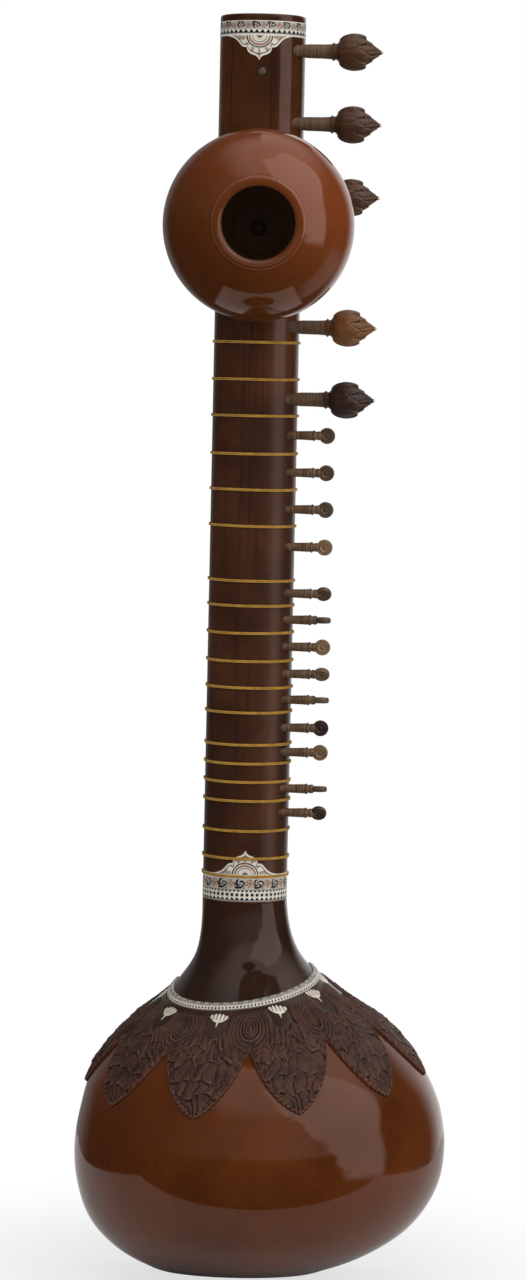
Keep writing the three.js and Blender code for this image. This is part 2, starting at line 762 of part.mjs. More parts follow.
// Upper gourd: a turned hollow on a saddle foot, open at the back by a rounded mouth
const upperGourdRadius = 96;
const upperGourdDepth = 160;
const upperGourdWall = 6;
const footHeight = 12;
const footRadius = 24;
const footWaist = 20;
const mouthRadius = 37;
const lipWidth = 8;
const lipRise = 2;
const lipCornerShare = 0.25; // of the lip's width
const footRimShare = 0.25; // of the foot's height
const footWaistShare = 0.7;
const bowlStartShare = 1.25; // of the foot's radius
const flangeRadius = 8.8; // of the nut that seats on the gourd's floor
const flangeHeight = 2;
const upperSides = 24;
const upperRows = 9;
const upperInnerRows = 5;
const upperHalfDepth = upperGourdDepth / 2;
const upperCentre = footHeight + upperHalfDepth;

function upperProfile() {
  const outline = [];
  const add = (radius, height) => outline.push(new THREE.Vector2(radius, height));
  add(boltHole, -footHeight);
  add(footRadius, -footHeight);
  add(footRadius, footHeight * footRimShare);
  add(footWaist, footHeight * footWaistShare);
  const lipOuter = mouthRadius + lipWidth;
  const lipCorner = lipWidth * lipCornerShare;
  const first = Math.asin((footRadius * bowlStartShare) / upperGourdRadius);
  const last = Math.PI - Math.asin(lipOuter / upperGourdRadius);
  for (let row = 0; row <= upperRows; row++) {
    const angle = THREE.MathUtils.lerp(first, last, row / upperRows);
    add(upperGourdRadius * Math.sin(angle), upperCentre - upperHalfDepth * Math.cos(angle));
  }
  const brow = upperCentre - upperHalfDepth * Math.cos(last);
  add(lipOuter - lipCorner, brow + lipRise);
  add(mouthRadius + lipCorner, brow + lipRise);
  add(mouthRadius, brow - lipRise);
  add(mouthRadius, brow - upperGourdWall);
  const innerFirst = Math.PI - Math.asin((lipOuter - lipCorner) / upperGourdRadius);
  for (let row = 0; row <= upperInnerRows; row++) {
    const angle = THREE.MathUtils.lerp(innerFirst, first, row / upperInnerRows);
    add(
      (upperGourdRadius - upperGourdWall) * Math.sin(angle),
      upperCentre - (upperHalfDepth - upperGourdWall) * Math.cos(angle),
    );
  }
  add(flangeRadius + flangeHeight, footHeight + upperGourdWall);
  add(boltHole, footHeight + upperGourdWall);
  outline.push(outline[0].clone());
  return outline;
}

// The foot is hollowed to sit on the neck's round back
const saddle = solidOf(upright(neckSection(seatGap, 0), -upperGourdRadius, upperGourdRadius))
  .translate([0, neckDepth, 0]);
const upperTurning = new THREE.LatheGeometry(upperProfile(), upperSides).rotateX(Math.PI);
const upperGourd = solidOf(upperTurning).subtract(saddle);
const upperGourdMesh = place('upper_gourd', geometryOf(upperGourd), finishes.gourdLacquer);
upperGourdMesh.position.set(0, -neckDepth, boltStation);

// The bolt that holds it, headed inside the neck, and its flanged nut inside the gourd
const boltHeadRadius = 7.5;
const boltHeadHeight = 5.3;
const boltHeadRise = 1; // the head's corners ride on the round of the hollow
const boltSpare = 6;
const nutRadius = 7.5;
const nutHeight = 8;
const hexagon = 6; // sides of the bolt's head and of its nut
const upperFloor = footHeight + upperGourdWall;
const boltHeadBase = neckWall + seatGap + boltHeadRise; // in front of the neck's back
const boltHeadTop = boltHeadBase + boltHeadHeight;
const boltEnd = upperFloor + seatGap + nutHeight + boltSpare; // behind the neck's back
const boltHead = throughRod(boltHeadBase, boltHeadTop, boltHeadRadius, boltHeadRadius, hexagon, 0, 0);
const boltShank = throughRod(-boltEnd, boltHeadBase + seatGap, boltRadius, boltRadius, boltSides, 0, 0);
const bolt = solidOf(boltShank).add(solidOf(boltHead));
const boltMesh = place('gourd_bolt', geometryOf(bolt), finishes.steel);
boltMesh.position.set(0, -neckDepth, boltStation);

const nutBase = upperFloor + seatGap;
const nut = solidOf(throughRod(-nutHeight, 0, nutRadius, nutRadius, hexagon, 0, 0))
  .add(solidOf(throughRod(-flangeHeight, 0, flangeRadius, flangeRadius, boltSides, 0, 0)))
  .subtract(solidOf(throughRod(-nutHeight - overrun, overrun, boltHole, boltHole, boltSides, 0, 0)));
const nutMesh = place('gourd_nut', geometryOf(nut), finishes.steel);
nutMesh.position.set(0, -neckDepth - nutBase, boltStation);

// Main bridge: a broad bone table with a faintly rounded top on two wooden feet
const bridgeTop = 31; // over the fingerboard's plane
const bridgeWidth = 76;
const bridgeLength = 30; // along the strings
const bridgePlate = 6;
const bridgeCurve = 1.2;
const bridgeFootWidth = 11;
const bridgeFootLength = 18;

const bridgeTable = new THREE.Shape();
bridgeTable.moveTo(-bridgeLength / 2, bridgeTop - bridgePlate);
bridgeTable.lineTo(bridgeLength / 2, bridgeTop - bridgePlate);
bridgeTable.lineTo(bridgeLength / 2, bridgeTop - bridgeCurve);
bridgeTable.quadraticCurveTo(0, bridgeTop + bridgeCurve, -bridgeLength / 2, bridgeTop - bridgeCurve);
bridgeTable.closePath();
let bridge = solidOf(extruded(bridgeTable, bridgeWidth, middleSteps)
  .rotateY(-Math.PI / 2)
  .translate(bridgeWidth / 2, 0, bridgeStation));
const bridgeLegs = new THREE.Shape();
const legOuter = bridgeWidth / 2 - bridgeCurve;
const legInner = legOuter - bridgeFootWidth;
const legBottom = Math.max(
  soundboardFace(legInner, bridgeStation - bridgeFootLength / 2),
  soundboardFace(-legInner, bridgeStation - bridgeFootLength / 2),
  soundboardFace(legInner, bridgeStation),
) + seatGap;
const archTop = bridgeTop - bridgePlate - bridgeFootWidth / 3;
bridgeLegs.moveTo(-legOuter, legBottom);
bridgeLegs.lineTo(-legInner, legBottom);
bridgeLegs.quadraticCurveTo(-legInner, archTop, -legInner + bridgeFootWidth, archTop);
bridgeLegs.lineTo(legInner - bridgeFootWidth, archTop);
bridgeLegs.quadraticCurveTo(legInner, archTop, legInner, legBottom);
bridgeLegs.lineTo(legOuter, legBottom);
bridgeLegs.lineTo(legOuter - bridgeFootWidth / 4, bridgeTop - bridgePlate / 2);
bridgeLegs.lineTo(-legOuter + bridgeFootWidth / 4, bridgeTop - bridgePlate / 2);
bridgeLegs.closePath();
bridge = bridge.add(solidOf(upright(
  bridgeLegs, bridgeStation - bridgeFootLength / 2, bridgeStation + bridgeFootLength / 2, middleSteps,
)));
place('main_bridge', geometryOf(bridge), finishes.bone);

// Small bridge that carries the sympathetic strings
const smallBridgeSetOff = 57; // up the soundboard from the main bridge
const smallBridgeTop = 8.5;
const smallBridgeWidth = 60;
const smallBridgeLength = 12;
const smallBridgeFoot = 9;
const smallBridgeArch = 3.5;
const smallBridgeStation = bridgeStation + smallBridgeSetOff;
const smallBridgeBottom = Math.max(
  soundboardFace(smallBridgeWidth / 2 - smallBridgeFoot, smallBridgeStation - smallBridgeLength / 2),
  soundboardFace(smallBridgeWidth / 2, smallBridgeStation - smallBridgeLength / 2),
) + seatGap;
const smallBridgeShape = new THREE.Shape();
const smallHalf = smallBridgeWidth / 2;
smallBridgeShape.moveTo(-smallHalf, smallBridgeBottom);
smallBridgeShape.lineTo(-smallHalf + smallBridgeFoot, smallBridgeBottom);
smallBridgeShape.quadraticCurveTo(
  0, smallBridgeBottom + 2 * smallBridgeArch, smallHalf - smallBridgeFoot, smallBridgeBottom,
);
smallBridgeShape.lineTo(smallHalf, smallBridgeBottom);
smallBridgeShape.lineTo(smallHalf - smallBridgeFoot / 3, smallBridgeTop);
smallBridgeShape.lineTo(-smallHalf + smallBridgeFoot / 3, smallBridgeTop);
smallBridgeShape.closePath();
const smallBridgeLow = smallBridgeStation - smallBridgeLength / 2;
const smallBridgeHigh = smallBridgeLow + smallBridgeLength;
const smallBridge = upright(smallBridgeShape, smallBridgeLow, smallBridgeHigh, middleSteps);
place('taraf_bridge', smallBridge, finishes.bone);

// Tailpiece: a plate on the foot of the soundboard with the post that the loops hook over
const tailStation = 36;
const tailPlate = 4;
const tailWidth = 34;
const tailLength = 22;
const tailPostRadius = 3.5;
const tailPostTop = 12;
const tailCapRadius = 5.2;
const tailCapHeight = 2;
const tailSides = 8;
const tailBase = soundboardFace(0, tailStation + tailLength / 2) + seatGap;
const tailShape = new THREE.Shape();
tailShape.moveTo(-tailWidth / 2, tailStation - tailLength / 2);
tailShape.lineTo(tailWidth / 2, tailStation - tailLength / 2);
tailShape.quadraticCurveTo(tailWidth / 2, tailStation, tailWidth / 5, tailStation + tailLength / 2);
tailShape.lineTo(-tailWidth / 5, tailStation + tailLength / 2);
tailShape.quadraticCurveTo(-tailWidth / 2, tailStation, -tailWidth / 2, tailStation - tailLength / 2);

function tailRod(from, radius) {
  return solidOf(throughRod(from, tailPostTop, radius, radius, tailSides, 0, tailStation));
}

const tailpiece = solidOf(frontal(tailShape, tailBase + tailPlate, tailBase, middleSteps))
  .add(tailRod(tailBase, tailPostRadius))
  .add(tailRod(tailPostTop - tailCapHeight, tailCapRadius));
place('tailpiece', geometryOf(tailpiece), finishes.bone);

// Nut and string guide: two bone plates across the fingerboard
const nutTop = 17;
const nutThickness = 5;
const nutHalfWidth = 34;
const guideSetOff = 16;
const guideTop = 19;
const guideThickness = 4;
const guideHoleHeight = 14;
const guideHoleRadius = 1.7;
const guideHoleSides = 6;
const guideStation = nutStation + guideSetOff;

function crossPlate(top, halfWidth, station, thickness) {
  const shape = new THREE.Shape();
  shape.moveTo(-halfWidth, seatGap);
  shape.lineTo(halfWidth, seatGap);
  shape.lineTo(halfWidth, top / 2);
  shape.quadraticCurveTo(halfWidth, top, halfWidth - top / 2, top);
  shape.lineTo(top / 2 - halfWidth, top);
  shape.quadraticCurveTo(-halfWidth, top, -halfWidth, top / 2);
  shape.closePath();
  return upright(shape, station - thickness / 2, station + thickness / 2, fewSteps);
}

place('nut_ridge', crossPlate(nutTop, nutHalfWidth, nutStation, nutThickness), finishes.bone);

const bridgeStringXs = [-24, -16, -8, 0, 8, 16, 24];
const nutStringXs = [-22, -13, -5, 3, 11];
let guide = solidOf(crossPlate(guideTop, nutHalfWidth, guideStation, guideThickness));
for (const x of nutStringXs) {
  const depth = guideThickness + 2 * overrun;
  const hole = new THREE.CylinderGeometry(guideHoleRadius, guideHoleRadius, depth, guideHoleSides);
  guide = guide.subtract(solidOf(hole.rotateX(Math.PI / 2).translate(x, guideHoleHeight, guideStation)));
}
place('string_guide', geometryOf(guide), finishes.bone);

// Strings. Each set starts from the loops hooked over the tail post.
const wireSides = 4;
const loopThickness = 1.3;
const loopSides = 5;
const loopSteps = 12;
const loopSeat = tailPostRadius + seatGap + loopThickness;
const tarafLoopHeight = tailBase + tailPlate + seatGap + loopThickness;
const mainLoopHeight = tarafLoopHeight + 2 * loopThickness + 2 * seatGap;
const spreadShare = 0.12; // how far apart the strings leave the loops, of their spread at the bridge

function loopRing(height) {
  const ring = new THREE.TorusGeometry(loopSeat, loopThickness, loopSides, loopSteps);
  return solidOf(ring.rotateX(Math.PI / 2).translate(0, height, tailStation));
}

function loopStart(x, height) {
  const start = x * spreadShare;
  return new THREE.Vector3(start, height, tailStation + Math.sqrt(loopSeat * loopSeat - start * start));
}

// Height of a side peg's shaft above its axis, at a distance from the centre plane
function shaftRadiusAt(x) {
  return THREE.MathUtils.mapLinear(x, pegTip, pegExit, pegTipRadius, pegExitRadius);
}

// The last stretch, down through the fingerboard's hole to the shaft inside the neck
function intoHole({ x, station }, shaftX, shaftRadius, pegStation, wireRadius) {
  const inset = stringHoleRadius / 2;
  return [
    new THREE.Vector3(x, wireRadius + 2 * seatGap, station - inset),
    new THREE.Vector3(x, -plateThickness - wireRadius, station + inset / 2),
    new THREE.Vector3(shaftX, shaftRadius + seatGap + wireRadius - pegDepth, pegStation),
  ];
}

const crestHeight = bridgeTop + 2 * seatGap + mainWireRadius;
const nutCrest = nutTop + seatGap + mainWireRadius;
const facePegWinding = 9; // over the face
const facePegWindingRadius = THREE.MathUtils.mapLinear(
  facePegWinding + pegCollar - facePegCollar,
  pegCollar - facePegLength,
  pegExit,
  pegTipRadius,
  pegExitRadius,
);
const windingSide = -facePegWindingRadius - seatGap - mainWireRadius;

// From the loop over the back edge of the bridge to its crest
function overBridge(x) {
  return [
    loopStart(x, mainLoopHeight),
    new THREE.Vector3(x, crestHeight - bridgeCurve, bridgeStation - bridgeLength / 2),
    new THREE.Vector3(x, crestHeight, bridgeStation),
  ];
}

function headString(index, ending) {
  return [
    ...overBridge(bridgeStringXs[index]),
    new THREE.Vector3(nutStringXs[index], nutCrest, nutStation + nutThickness / 2),
    new THREE.Vector3(nutStringXs[index], guideHoleHeight, guideStation),
    ...ending,
  ];
}

function toSidePeg(index, shaftX) {
  return intoHole(mainHoles[index], shaftX, shaftRadiusAt(shaftX), sidePegStations[index], mainWireRadius);
}

function toDronePeg(index) {
  const post = index - 3;
  const shaftX = droneHoleOffset * droneShaftShare;
  const postX = halfNeck - bindingWidth / 2;
  const postCrest = dronePostHeight + seatGap + mainWireRadius;
  return [
    ...overBridge(bridgeStringXs[index + 2]),
    new THREE.Vector3(postX, postCrest, dronePostStations[post]),
    new THREE.Vector3(postX - dronePostRadius, postCrest, dronePostStations[post] + 2 * dronePostRadius),
    ...toSidePeg(index, shaftX),
  ];
}

const mainRoutes = [
  headString(0, toSidePeg(0, headHoleOffsets[0])),
  headString(1, [new THREE.Vector3(windingSide, facePegWinding, facePegStations[0])]),
  headString(2, [new THREE.Vector3(windingSide, facePegWinding, facePegStations[1])]),
  headString(3, toSidePeg(1, headHoleOffsets[1])),
  headString(4, toSidePeg(2, headHoleOffsets[2])),
  toDronePeg(3),
  toDronePeg(4),
];
let mainStrings = loopRing(mainLoopHeight);
for (const route of mainRoutes) {
  mainStrings = mainStrings.add(solidOf(wire(route, mainWireRadius, wireSides)));
}
place('main_strings', geometryOf(mainStrings), finishes.steel);

// The sympathetic strings pass under the main bridge and over the small one
const tarafBridgeFirst = 19.2;
const tarafBridgeStep = 3.2;
const tarafCrest = smallBridgeTop + seatGap + tarafWireRadius;
const tarafShaftShare = 0.2; // where the string meets its shaft, from the tip to the neck's side
const tarafShaftX = THREE.MathUtils.lerp(tarafTip, pegExit, tarafShaftShare);
const tarafShaftRadius = THREE.MathUtils.lerp(tarafTipRadius, tarafExitRadius, tarafShaftShare);
let tarafStrings = loopRing(tarafLoopHeight);
tarafHoles.forEach((hole, index) => {
  const order = tarafHoles.length - 1 - index;
  const x = tarafBridgeFirst - tarafBridgeStep * order;
  const route = [
    loopStart(x, tarafLoopHeight),
    new THREE.Vector3(x, tarafCrest, smallBridgeStation),
    ...intoHole(hole, tarafShaftX, tarafShaftRadius, tarafPegStations[index], tarafWireRadius),
  ];
  tarafStrings = tarafStrings.add(solidOf(wire(route, tarafWireRadius, wireSides)));
});
place('taraf_strings', geometryOf(tarafStrings), finishes.steel);

// Tuning bead threaded on the first string below the bridge
const beadRadius = 4;
const beadHoleRadius = 0.9;
const beadPlaceShare = 0.77;
const [beadFrom, beadTo] = mainRoutes[0];
const beadProfile = [];
const beadRows = 5;
const beadSides = 10;
const beadPole = Math.asin(beadHoleRadius / beadRadius);
for (let row = 0; row <= beadRows; row++) {
  const angle = THREE.MathUtils.lerp(beadPole, Math.PI - beadPole, row / beadRows);
  beadProfile.push(new THREE.Vector2(beadRadius * Math.sin(angle), -beadRadius * Math.cos(angle)));
}
beadProfile.push(beadProfile[0].clone());
const bead = place('tuning_bead', new THREE.LatheGeometry(beadProfile, beadSides), finishes.bone);
bead.position.lerpVectors(beadFrom, beadTo, beadPlaceShare);
bead.quaternion.setFromUnitVectors(new THREE.Vector3(0, 1, 0), beadTo.clone().sub(beadFrom).normalize());

export default instrument;
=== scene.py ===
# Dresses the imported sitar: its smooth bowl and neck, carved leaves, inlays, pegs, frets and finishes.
# Lengths here are in millimetres and are scaled to metres where a mesh is made from them; the floor, the
# lamps and the camera are given in metres.
import bmesh
import bpy
import math
import numpy as np
from mathutils import Matrix, Vector


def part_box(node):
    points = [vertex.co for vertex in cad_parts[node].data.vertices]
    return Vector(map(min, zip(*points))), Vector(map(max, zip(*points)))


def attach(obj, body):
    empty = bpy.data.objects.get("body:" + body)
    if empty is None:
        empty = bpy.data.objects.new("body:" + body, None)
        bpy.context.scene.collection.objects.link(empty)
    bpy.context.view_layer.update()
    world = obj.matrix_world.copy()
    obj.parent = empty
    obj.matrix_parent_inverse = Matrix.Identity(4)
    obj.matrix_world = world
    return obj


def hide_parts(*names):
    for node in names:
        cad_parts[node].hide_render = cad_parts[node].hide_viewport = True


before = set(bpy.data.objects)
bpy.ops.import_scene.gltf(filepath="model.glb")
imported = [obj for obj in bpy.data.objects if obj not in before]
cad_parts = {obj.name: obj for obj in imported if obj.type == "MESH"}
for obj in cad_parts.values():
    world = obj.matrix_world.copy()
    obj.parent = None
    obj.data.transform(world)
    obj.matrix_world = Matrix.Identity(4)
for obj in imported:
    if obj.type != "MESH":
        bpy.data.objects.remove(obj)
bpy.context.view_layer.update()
scene = bpy.context.scene
mm = 0.001
seatGap = 0.3  # between pieces that touch
rng = np.random.default_rng(11)


def corners(node):  # lowest and highest corner of a CAD node, in millimetres
    low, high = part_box(node)
    return np.array(low) / mm, np.array(high) / mm


faceY = corners("fingerboard")[1][1]  # the plane that the strings run over
neckFoot = corners("fingerboard")[0][2]
neckTop = corners("neck")[1][2]
print("frame loaded")


# ---- meshes from grids of points

# Gathers closed skins into one mesh. A value is an array of numbers, one to each point of a grid.
class Form:
    def __init__(self):
        self.points, self.faces, self.values, self.count = [], [], [], 0

    # Adds points and faces, turned round where the volume they enclose comes out negative
    def add(self, points, faces, values):
        centred = points - points.mean(0)
        first, second, third, last = (centred[[face[place] for face in faces]] for place in (0, 1, 2, -1))
        volume = (first * np.cross(second, third)).sum() + (first * np.cross(third, last)).sum()
        if volume < 0:
            faces = [face[::-1] for face in faces]
        self.faces += [[corner + self.count for corner in face] for face in faces]
        self.points.append(points)
        self.values.append((len(points), values))
        self.count += len(points)

    # A skin of rows of closed rings; it joins its last row to its first, or ends in fans
    def rings(self, grid, looped=False, **values):
        index = indexOf(grid)
        columns, low, high = grid.shape[1], index.size, index.size + 1
        index = np.hstack([index, index[:, :1]])
        points, values = grid.reshape(-1, 3), spread(values, grid)
        if looped:
            faces = quads(np.vstack([index, index[:1]]))
        else:
            points = np.vstack([points, grid[0].mean(0), grid[-1].mean(0)])
            faces = quads(index)
            faces += [[after, before, low] for before, after in zip(index[0, :-1], index[0, 1:])]
            faces += [[before, after, high] for before, after in zip(index[-1, :-1], index[-1, 1:])]
            values = {name: np.append(value, [value[:columns].mean(), value[-columns:].mean()])
                      for name, value in values.items()}
        self.add(points, faces, values)

    # A sheet with its own back: the border of the front is joined to the border of the back
    def slab(self, front, back, **values):
        index = indexOf(front)
        border = borderOf(index)
        after = np.roll(border, -1)
        faces = quads(index) + [face[::-1] for face in quads(index + index.size)]
        faces += np.stack([after, border, border + index.size, after + index.size], -1).tolist()
        values = {name: np.tile(value, 2) for name, value in spread(values, front).items()}
        self.add(np.vstack([front.reshape(-1, 3), back.reshape(-1, 3)]), faces, values)

    # A sheet closed behind by a fan to one point
    def cover(self, front, behind, **values):
        index = indexOf(front)
        border = borderOf(index)
        faces = quads(index)
        faces += [[after, before, index.size] for before, after in zip(border, np.roll(border, -1))]
        values = {name: np.append(value, value.mean()) for name, value in spread(values, front).items()}
        self.add(np.vstack([front.reshape(-1, 3), behind]), faces, values)

    # The finished object, on its body, with the sharp edges kept
    def make(self, name, material, body="instrument", replaces=(), slot=None, sharp=50, weld=False):
        mesh = bpy.data.meshes.new(name)
        mesh.from_pydata(np.vstack(self.points) * mm, [], self.faces)
        for key in sorted({key for count, values in self.values for key in values}):
            column = np.concatenate([values.get(key, np.zeros(count)) for count, values in self.values])
            mesh.attributes.new(key, "FLOAT", "POINT").data.foreach_set("value", column.astype(np.float32))
        if weld:
            work = bmesh.new()
            work.from_mesh(mesh)
            bmesh.ops.remove_doubles(work, verts=work.verts, dist=0.002 * mm)
            bmesh.ops.dissolve_degenerate(work, edges=work.edges, dist=0.001 * mm)
            work.to_mesh(mesh)
            work.free()
        mesh.update()
        mesh.shade_smooth()
        mesh.set_sharp_from_angle(angle=math.radians(sharp))
        mesh.materials.append(material)
        piece = bpy.data.objects.new(name, mesh)
        scene.collection.objects.link(piece)
        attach(piece, body)
        if replaces:
            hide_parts(*replaces)
        return piece


def indexOf(grid):
    return np.arange(grid.shape[0] * grid.shape[1]).reshape(grid.shape[:2])


def spread(values, grid):
    return {name: np.broadcast_to(value, grid.shape[:2]).ravel() for name, value in values.items()}


def quads(index):
    corners = [index[:-1, :-1], index[:-1, 1:], index[1:, 1:], index[1:, :-1]]
    return np.stack(corners, -1).reshape(-1, 4).tolist()


def borderOf(index):
    return np.concatenate([index[0], index[1:, -1], index[-1, -2::-1], index[-2:0:-1, 0]])


def unit(vectors):
    return vectors / np.linalg.norm(vectors, axis=-1, keepdims=True)


def pointsOf(x, y, z):
    return np.stack(np.broadcast_arrays(x, y, z), -1)


def fullTurn(steps):
    return np.linspace(0, 2 * np.pi, steps, endpoint=False)


# Distance along a path at each of its points
def runAlong(path):
    return np.concatenate([[0], np.cumsum(np.linalg.norm(np.diff(path, axis=0), axis=1))])


# Cubic through the knots whose slope at each knot is that of the chord between its neighbours
def curveThrough(knots, values, at):
    knots, values = np.asarray(knots, float), np.asarray(values, float)
    slope = np.gradient(values, axis=0)
    slope[1:-1] = (values[2:] - values[:-2]) / (knots[2:] - knots[:-2])[:, None]
    slope[0] = (3 * (values[1] - values[0]) / (knots[1] - knots[0]) - slope[1]) / 2
    slope[-1] = (3 * (values[-1] - values[-2]) / (knots[-1] - knots[-2]) - slope[-2]) / 2
    step = np.clip(np.searchsorted(knots, at, side="right") - 1, 0, len(knots) - 2)
    span = (knots[step + 1] - knots[step])[..., None]
    t = (at - knots[step])[..., None] / span
    rise = t * t * (3 - 2 * t)
    return (values[step] * (1 - rise) + values[step + 1] * rise
            + span * (slope[step] * t * (1 - t) ** 2 - slope[step + 1] * t * t * (1 - t)))


def smoothStep(value, low, high):
    t = np.clip((value - low) / (high - low), 0, 1)
    return t * t * (3 - 2 * t)


# How far each height stands over the mean of its neighbourhood
def relief(height, reach):
    blurred = height
    for axis in (0, 1):
        padded = np.pad(blurred, [(reach, reach) if axis == side else (0, 0) for side in (0, 1)], mode="edge")
        total = np.cumsum(np.insert(padded, 0, 0, axis=axis), axis=axis)
        width = 2 * reach + 1
        blurred = (np.take(total, range(width, total.shape[axis]), axis)
                   - np.take(total, range(0, total.shape[axis] - width), axis)) / width
    return height - blurred


# A round rod along a path: rings of the given radius square to the path
def tube(form, path, radius, sides=12, looped=False, **values):
    along = np.roll(path, -1, 0) - np.roll(path, 1, 0) if looped else np.gradient(path, axis=0)
    along = unit(along)
    spare = np.array([0.31, 0.17, 0.93]) if abs(along[:, 2]).max() < 0.9 else np.array([0.17, 0.98, 0.1])
    first = unit(np.cross(along, spare))
    second = np.cross(along, first)
    angle = fullTurn(sides)
    radius = np.broadcast_to(radius, len(path))[:, None, None]
    ring = first[:, None] * np.cos(angle)[:, None] + second[:, None] * np.sin(angle)[:, None]
    form.rings(path[:, None] + radius * ring, looped, along=runAlong(path)[:, None], turn=angle, **values)


# ---- shader maths

# A method that joins a value to another by a Math node, with the value itself second where last is set
def operator(operation, last=False):
    return lambda self, *other: self.paint.math(operation, *((*other, self) if last else (self, *other)))


# A socket of a material; sums and products of these become Math nodes
class Value:
    def __init__(self, paint, socket):
        self.paint, self.socket = paint, socket

    __add__ = __radd__ = operator("ADD")
    __mul__ = __rmul__ = operator("MULTIPLY")
    __sub__ = operator("SUBTRACT")
    __rsub__ = operator("SUBTRACT", True)
    __pow__ = operator("POWER")
    __gt__ = operator("GREATER_THAN")
    __abs__ = operator("ABSOLUTE")


def shade(red, green, blue):  # a colour as a picture holds it, made linear
    linear = [c / 12.92 if c <= 0.04045 else ((c + 0.055) / 1.055) ** 2.4
              for c in (red / 255, green / 255, blue / 255)]
    return (*linear, 1)


# Builds a material, or the world, out of expressions
class Paint:
    def __init__(self, name, world=None):
        self.material = world or bpy.data.materials.new(name)
        self.material.use_nodes = True
        self.tree = self.material.node_tree
        self.shader = self.tree.nodes["Background" if world else "Principled BSDF"]
        self.place = self.node("TexCoord", {}, {}, "Generated" if world else "Object")

    def feed(self, socket, value):
        if isinstance(value, Value):
            self.tree.links.new(value.socket, socket)
        else:
            socket.default_value = value

    def node(self, kind, settings, sockets, output=0):
        node = self.tree.nodes.new("ShaderNode" + kind)
        for name, setting in settings.items():
            setattr(node, name, setting)
        for name, value in sockets.items():
            self.feed(node.inputs[name], value)
        return Value(self, node.outputs[output])

    def math(self, operation, *values):
        return self.node("Math", {"operation": operation}, dict(enumerate(values)))

    def mix(self, factor, first, second):
        return self.node("Mix", {"data_type": "RGBA"}, {0: factor, 6: first, 7: second}, 2)

    # Colours laid over a ground one after another; a coat is its share and its red, green and blue
    def layers(self, ground, *coats):
        for share, *colour in coats:
            ground = self.mix(share, ground, shade(*colour))
        return ground

    # Two colours that drift into each other along a noise, and the noise itself
    def clouds(self, scale, first, second, low=0.3, high=0.7, roughness=0.6):
        cloud = self.noise(self.place, scale, 4, roughness)
        return self.mix(self.ease(cloud, low, high), shade(*first), shade(*second)), cloud

    def ease(self, value, low, high):  # 0 up to low, 1 from high
        return self.node("MapRange", {"interpolation_type": "SMOOTHSTEP"},
                         {"Value": value, "From Min": low, "From Max": high})

    def between(self, value, low, high, soft=0.15):  # 1 between low and high
        return self.ease(value, low - soft, low + soft) * (1 - self.ease(value, high - soft, high + soft))

    def swing(self, angle):  # a sine from 0 to 1
        return self.math("SINE", angle) * 0.5 + 0.5

    def scaled(self, vector, x, y, z):
        return self.node("VectorMath", {"operation": "MULTIPLY"}, {0: vector, 1: (x, y, z)})

    def parts(self, vector):
        node = self.node("SeparateXYZ", {}, {0: vector}).socket.node
        return [Value(self, output) for output in node.outputs]

    def noise(self, vector, scale, detail=3, roughness=0.5, distortion=0):
        return self.node("TexNoise", {}, {"Vector": vector, "Scale": scale, "Detail": detail,
                                          "Roughness": roughness, "Distortion": distortion})

    # Noise with its own scale along each axis, such as the grain of a board
    def fibre(self, x, y, z, detail=3, roughness=0.5, distortion=0):
        return self.noise(self.scaled(self.place, x, y, z), 1, detail, roughness, distortion)

    # Fine rings left by the lathe, round a shaft that lies along x
    def turning(self, fine, coarse):
        x, y, z = self.parts(self.place)
        return self.noise(self.node("CombineXYZ", {}, {0: x * fine, 1: y * coarse, 2: z * coarse}), 1, 3, 0.6)

    def read(self, *names):
        values = [self.node("Attribute", {"attribute_name": name}, {}, "Fac") for name in names]
        return values if len(names) > 1 else values[0]

    def finish(self, colour, roughness, bump=None, depth=0.0, **sockets):
        self.feed(self.shader.inputs["Base Color"], colour)
        self.feed(self.shader.inputs["Roughness"], roughness)
        for name, value in sockets.items():
            self.feed(self.shader.inputs[name.replace("_", " ")], value)
        if bump is not None:
            normal = self.node("Bump", {}, {"Strength": 1.0, "Distance": depth * mm, "Height": bump})
            self.feed(self.shader.inputs["Normal"], normal)
        return self.material


warm = (1, 0.76, 0.7, 1)  # the varnish tints what it mirrors, except along its rims


# Polished lacquer: two browns that drift into each other, faint streaks and dust in the gloss
def lacquer(name, dark, light, streak, streaks=0.0, roughness=0.13, dulling=0.0, shine=0.5):
    paint = Paint(name)
    colour = paint.clouds(9, dark, light, 0.35, 0.68)[0]
    grain = paint.fibre(170, 170, 5, 4, 0.6, 0.4)
    colour = paint.layers(colour, (paint.ease(grain, 0.5, 0.75) * streaks, *streak))
    haze = paint.noise(paint.place, 55, 3, 0.6)
    height = paint.parts(paint.place)[2]
    gloss = haze * 0.07 + roughness + (1 - paint.ease(height, 0.85, 1.12)) * dulling
    ripple = paint.noise(paint.place, 26, 2, 0.5) + grain * (0.06 * streaks)
    return paint.finish(colour, gloss, ripple, 0.22, Specular_IOR_Level=shine, Specular_Tint=warm)


bowlLacquer = lacquer("bowl lacquer", (76, 36, 13), (92, 46, 17), (60, 28, 12), 0.25, 0.04)
jointLacquer = lacquer("joint lacquer", (38, 24, 18), (52, 32, 22), (30, 18, 14), 0.3, 0.05, 0, 0.45)
neckLacquer = lacquer("neck lacquer", (52, 28, 15), (78, 43, 22), (34, 19, 12), 0.7, 0.08, 0.22)
print("lacquers mixed")


# ---- the swelling body: one smooth form for bowl and joint

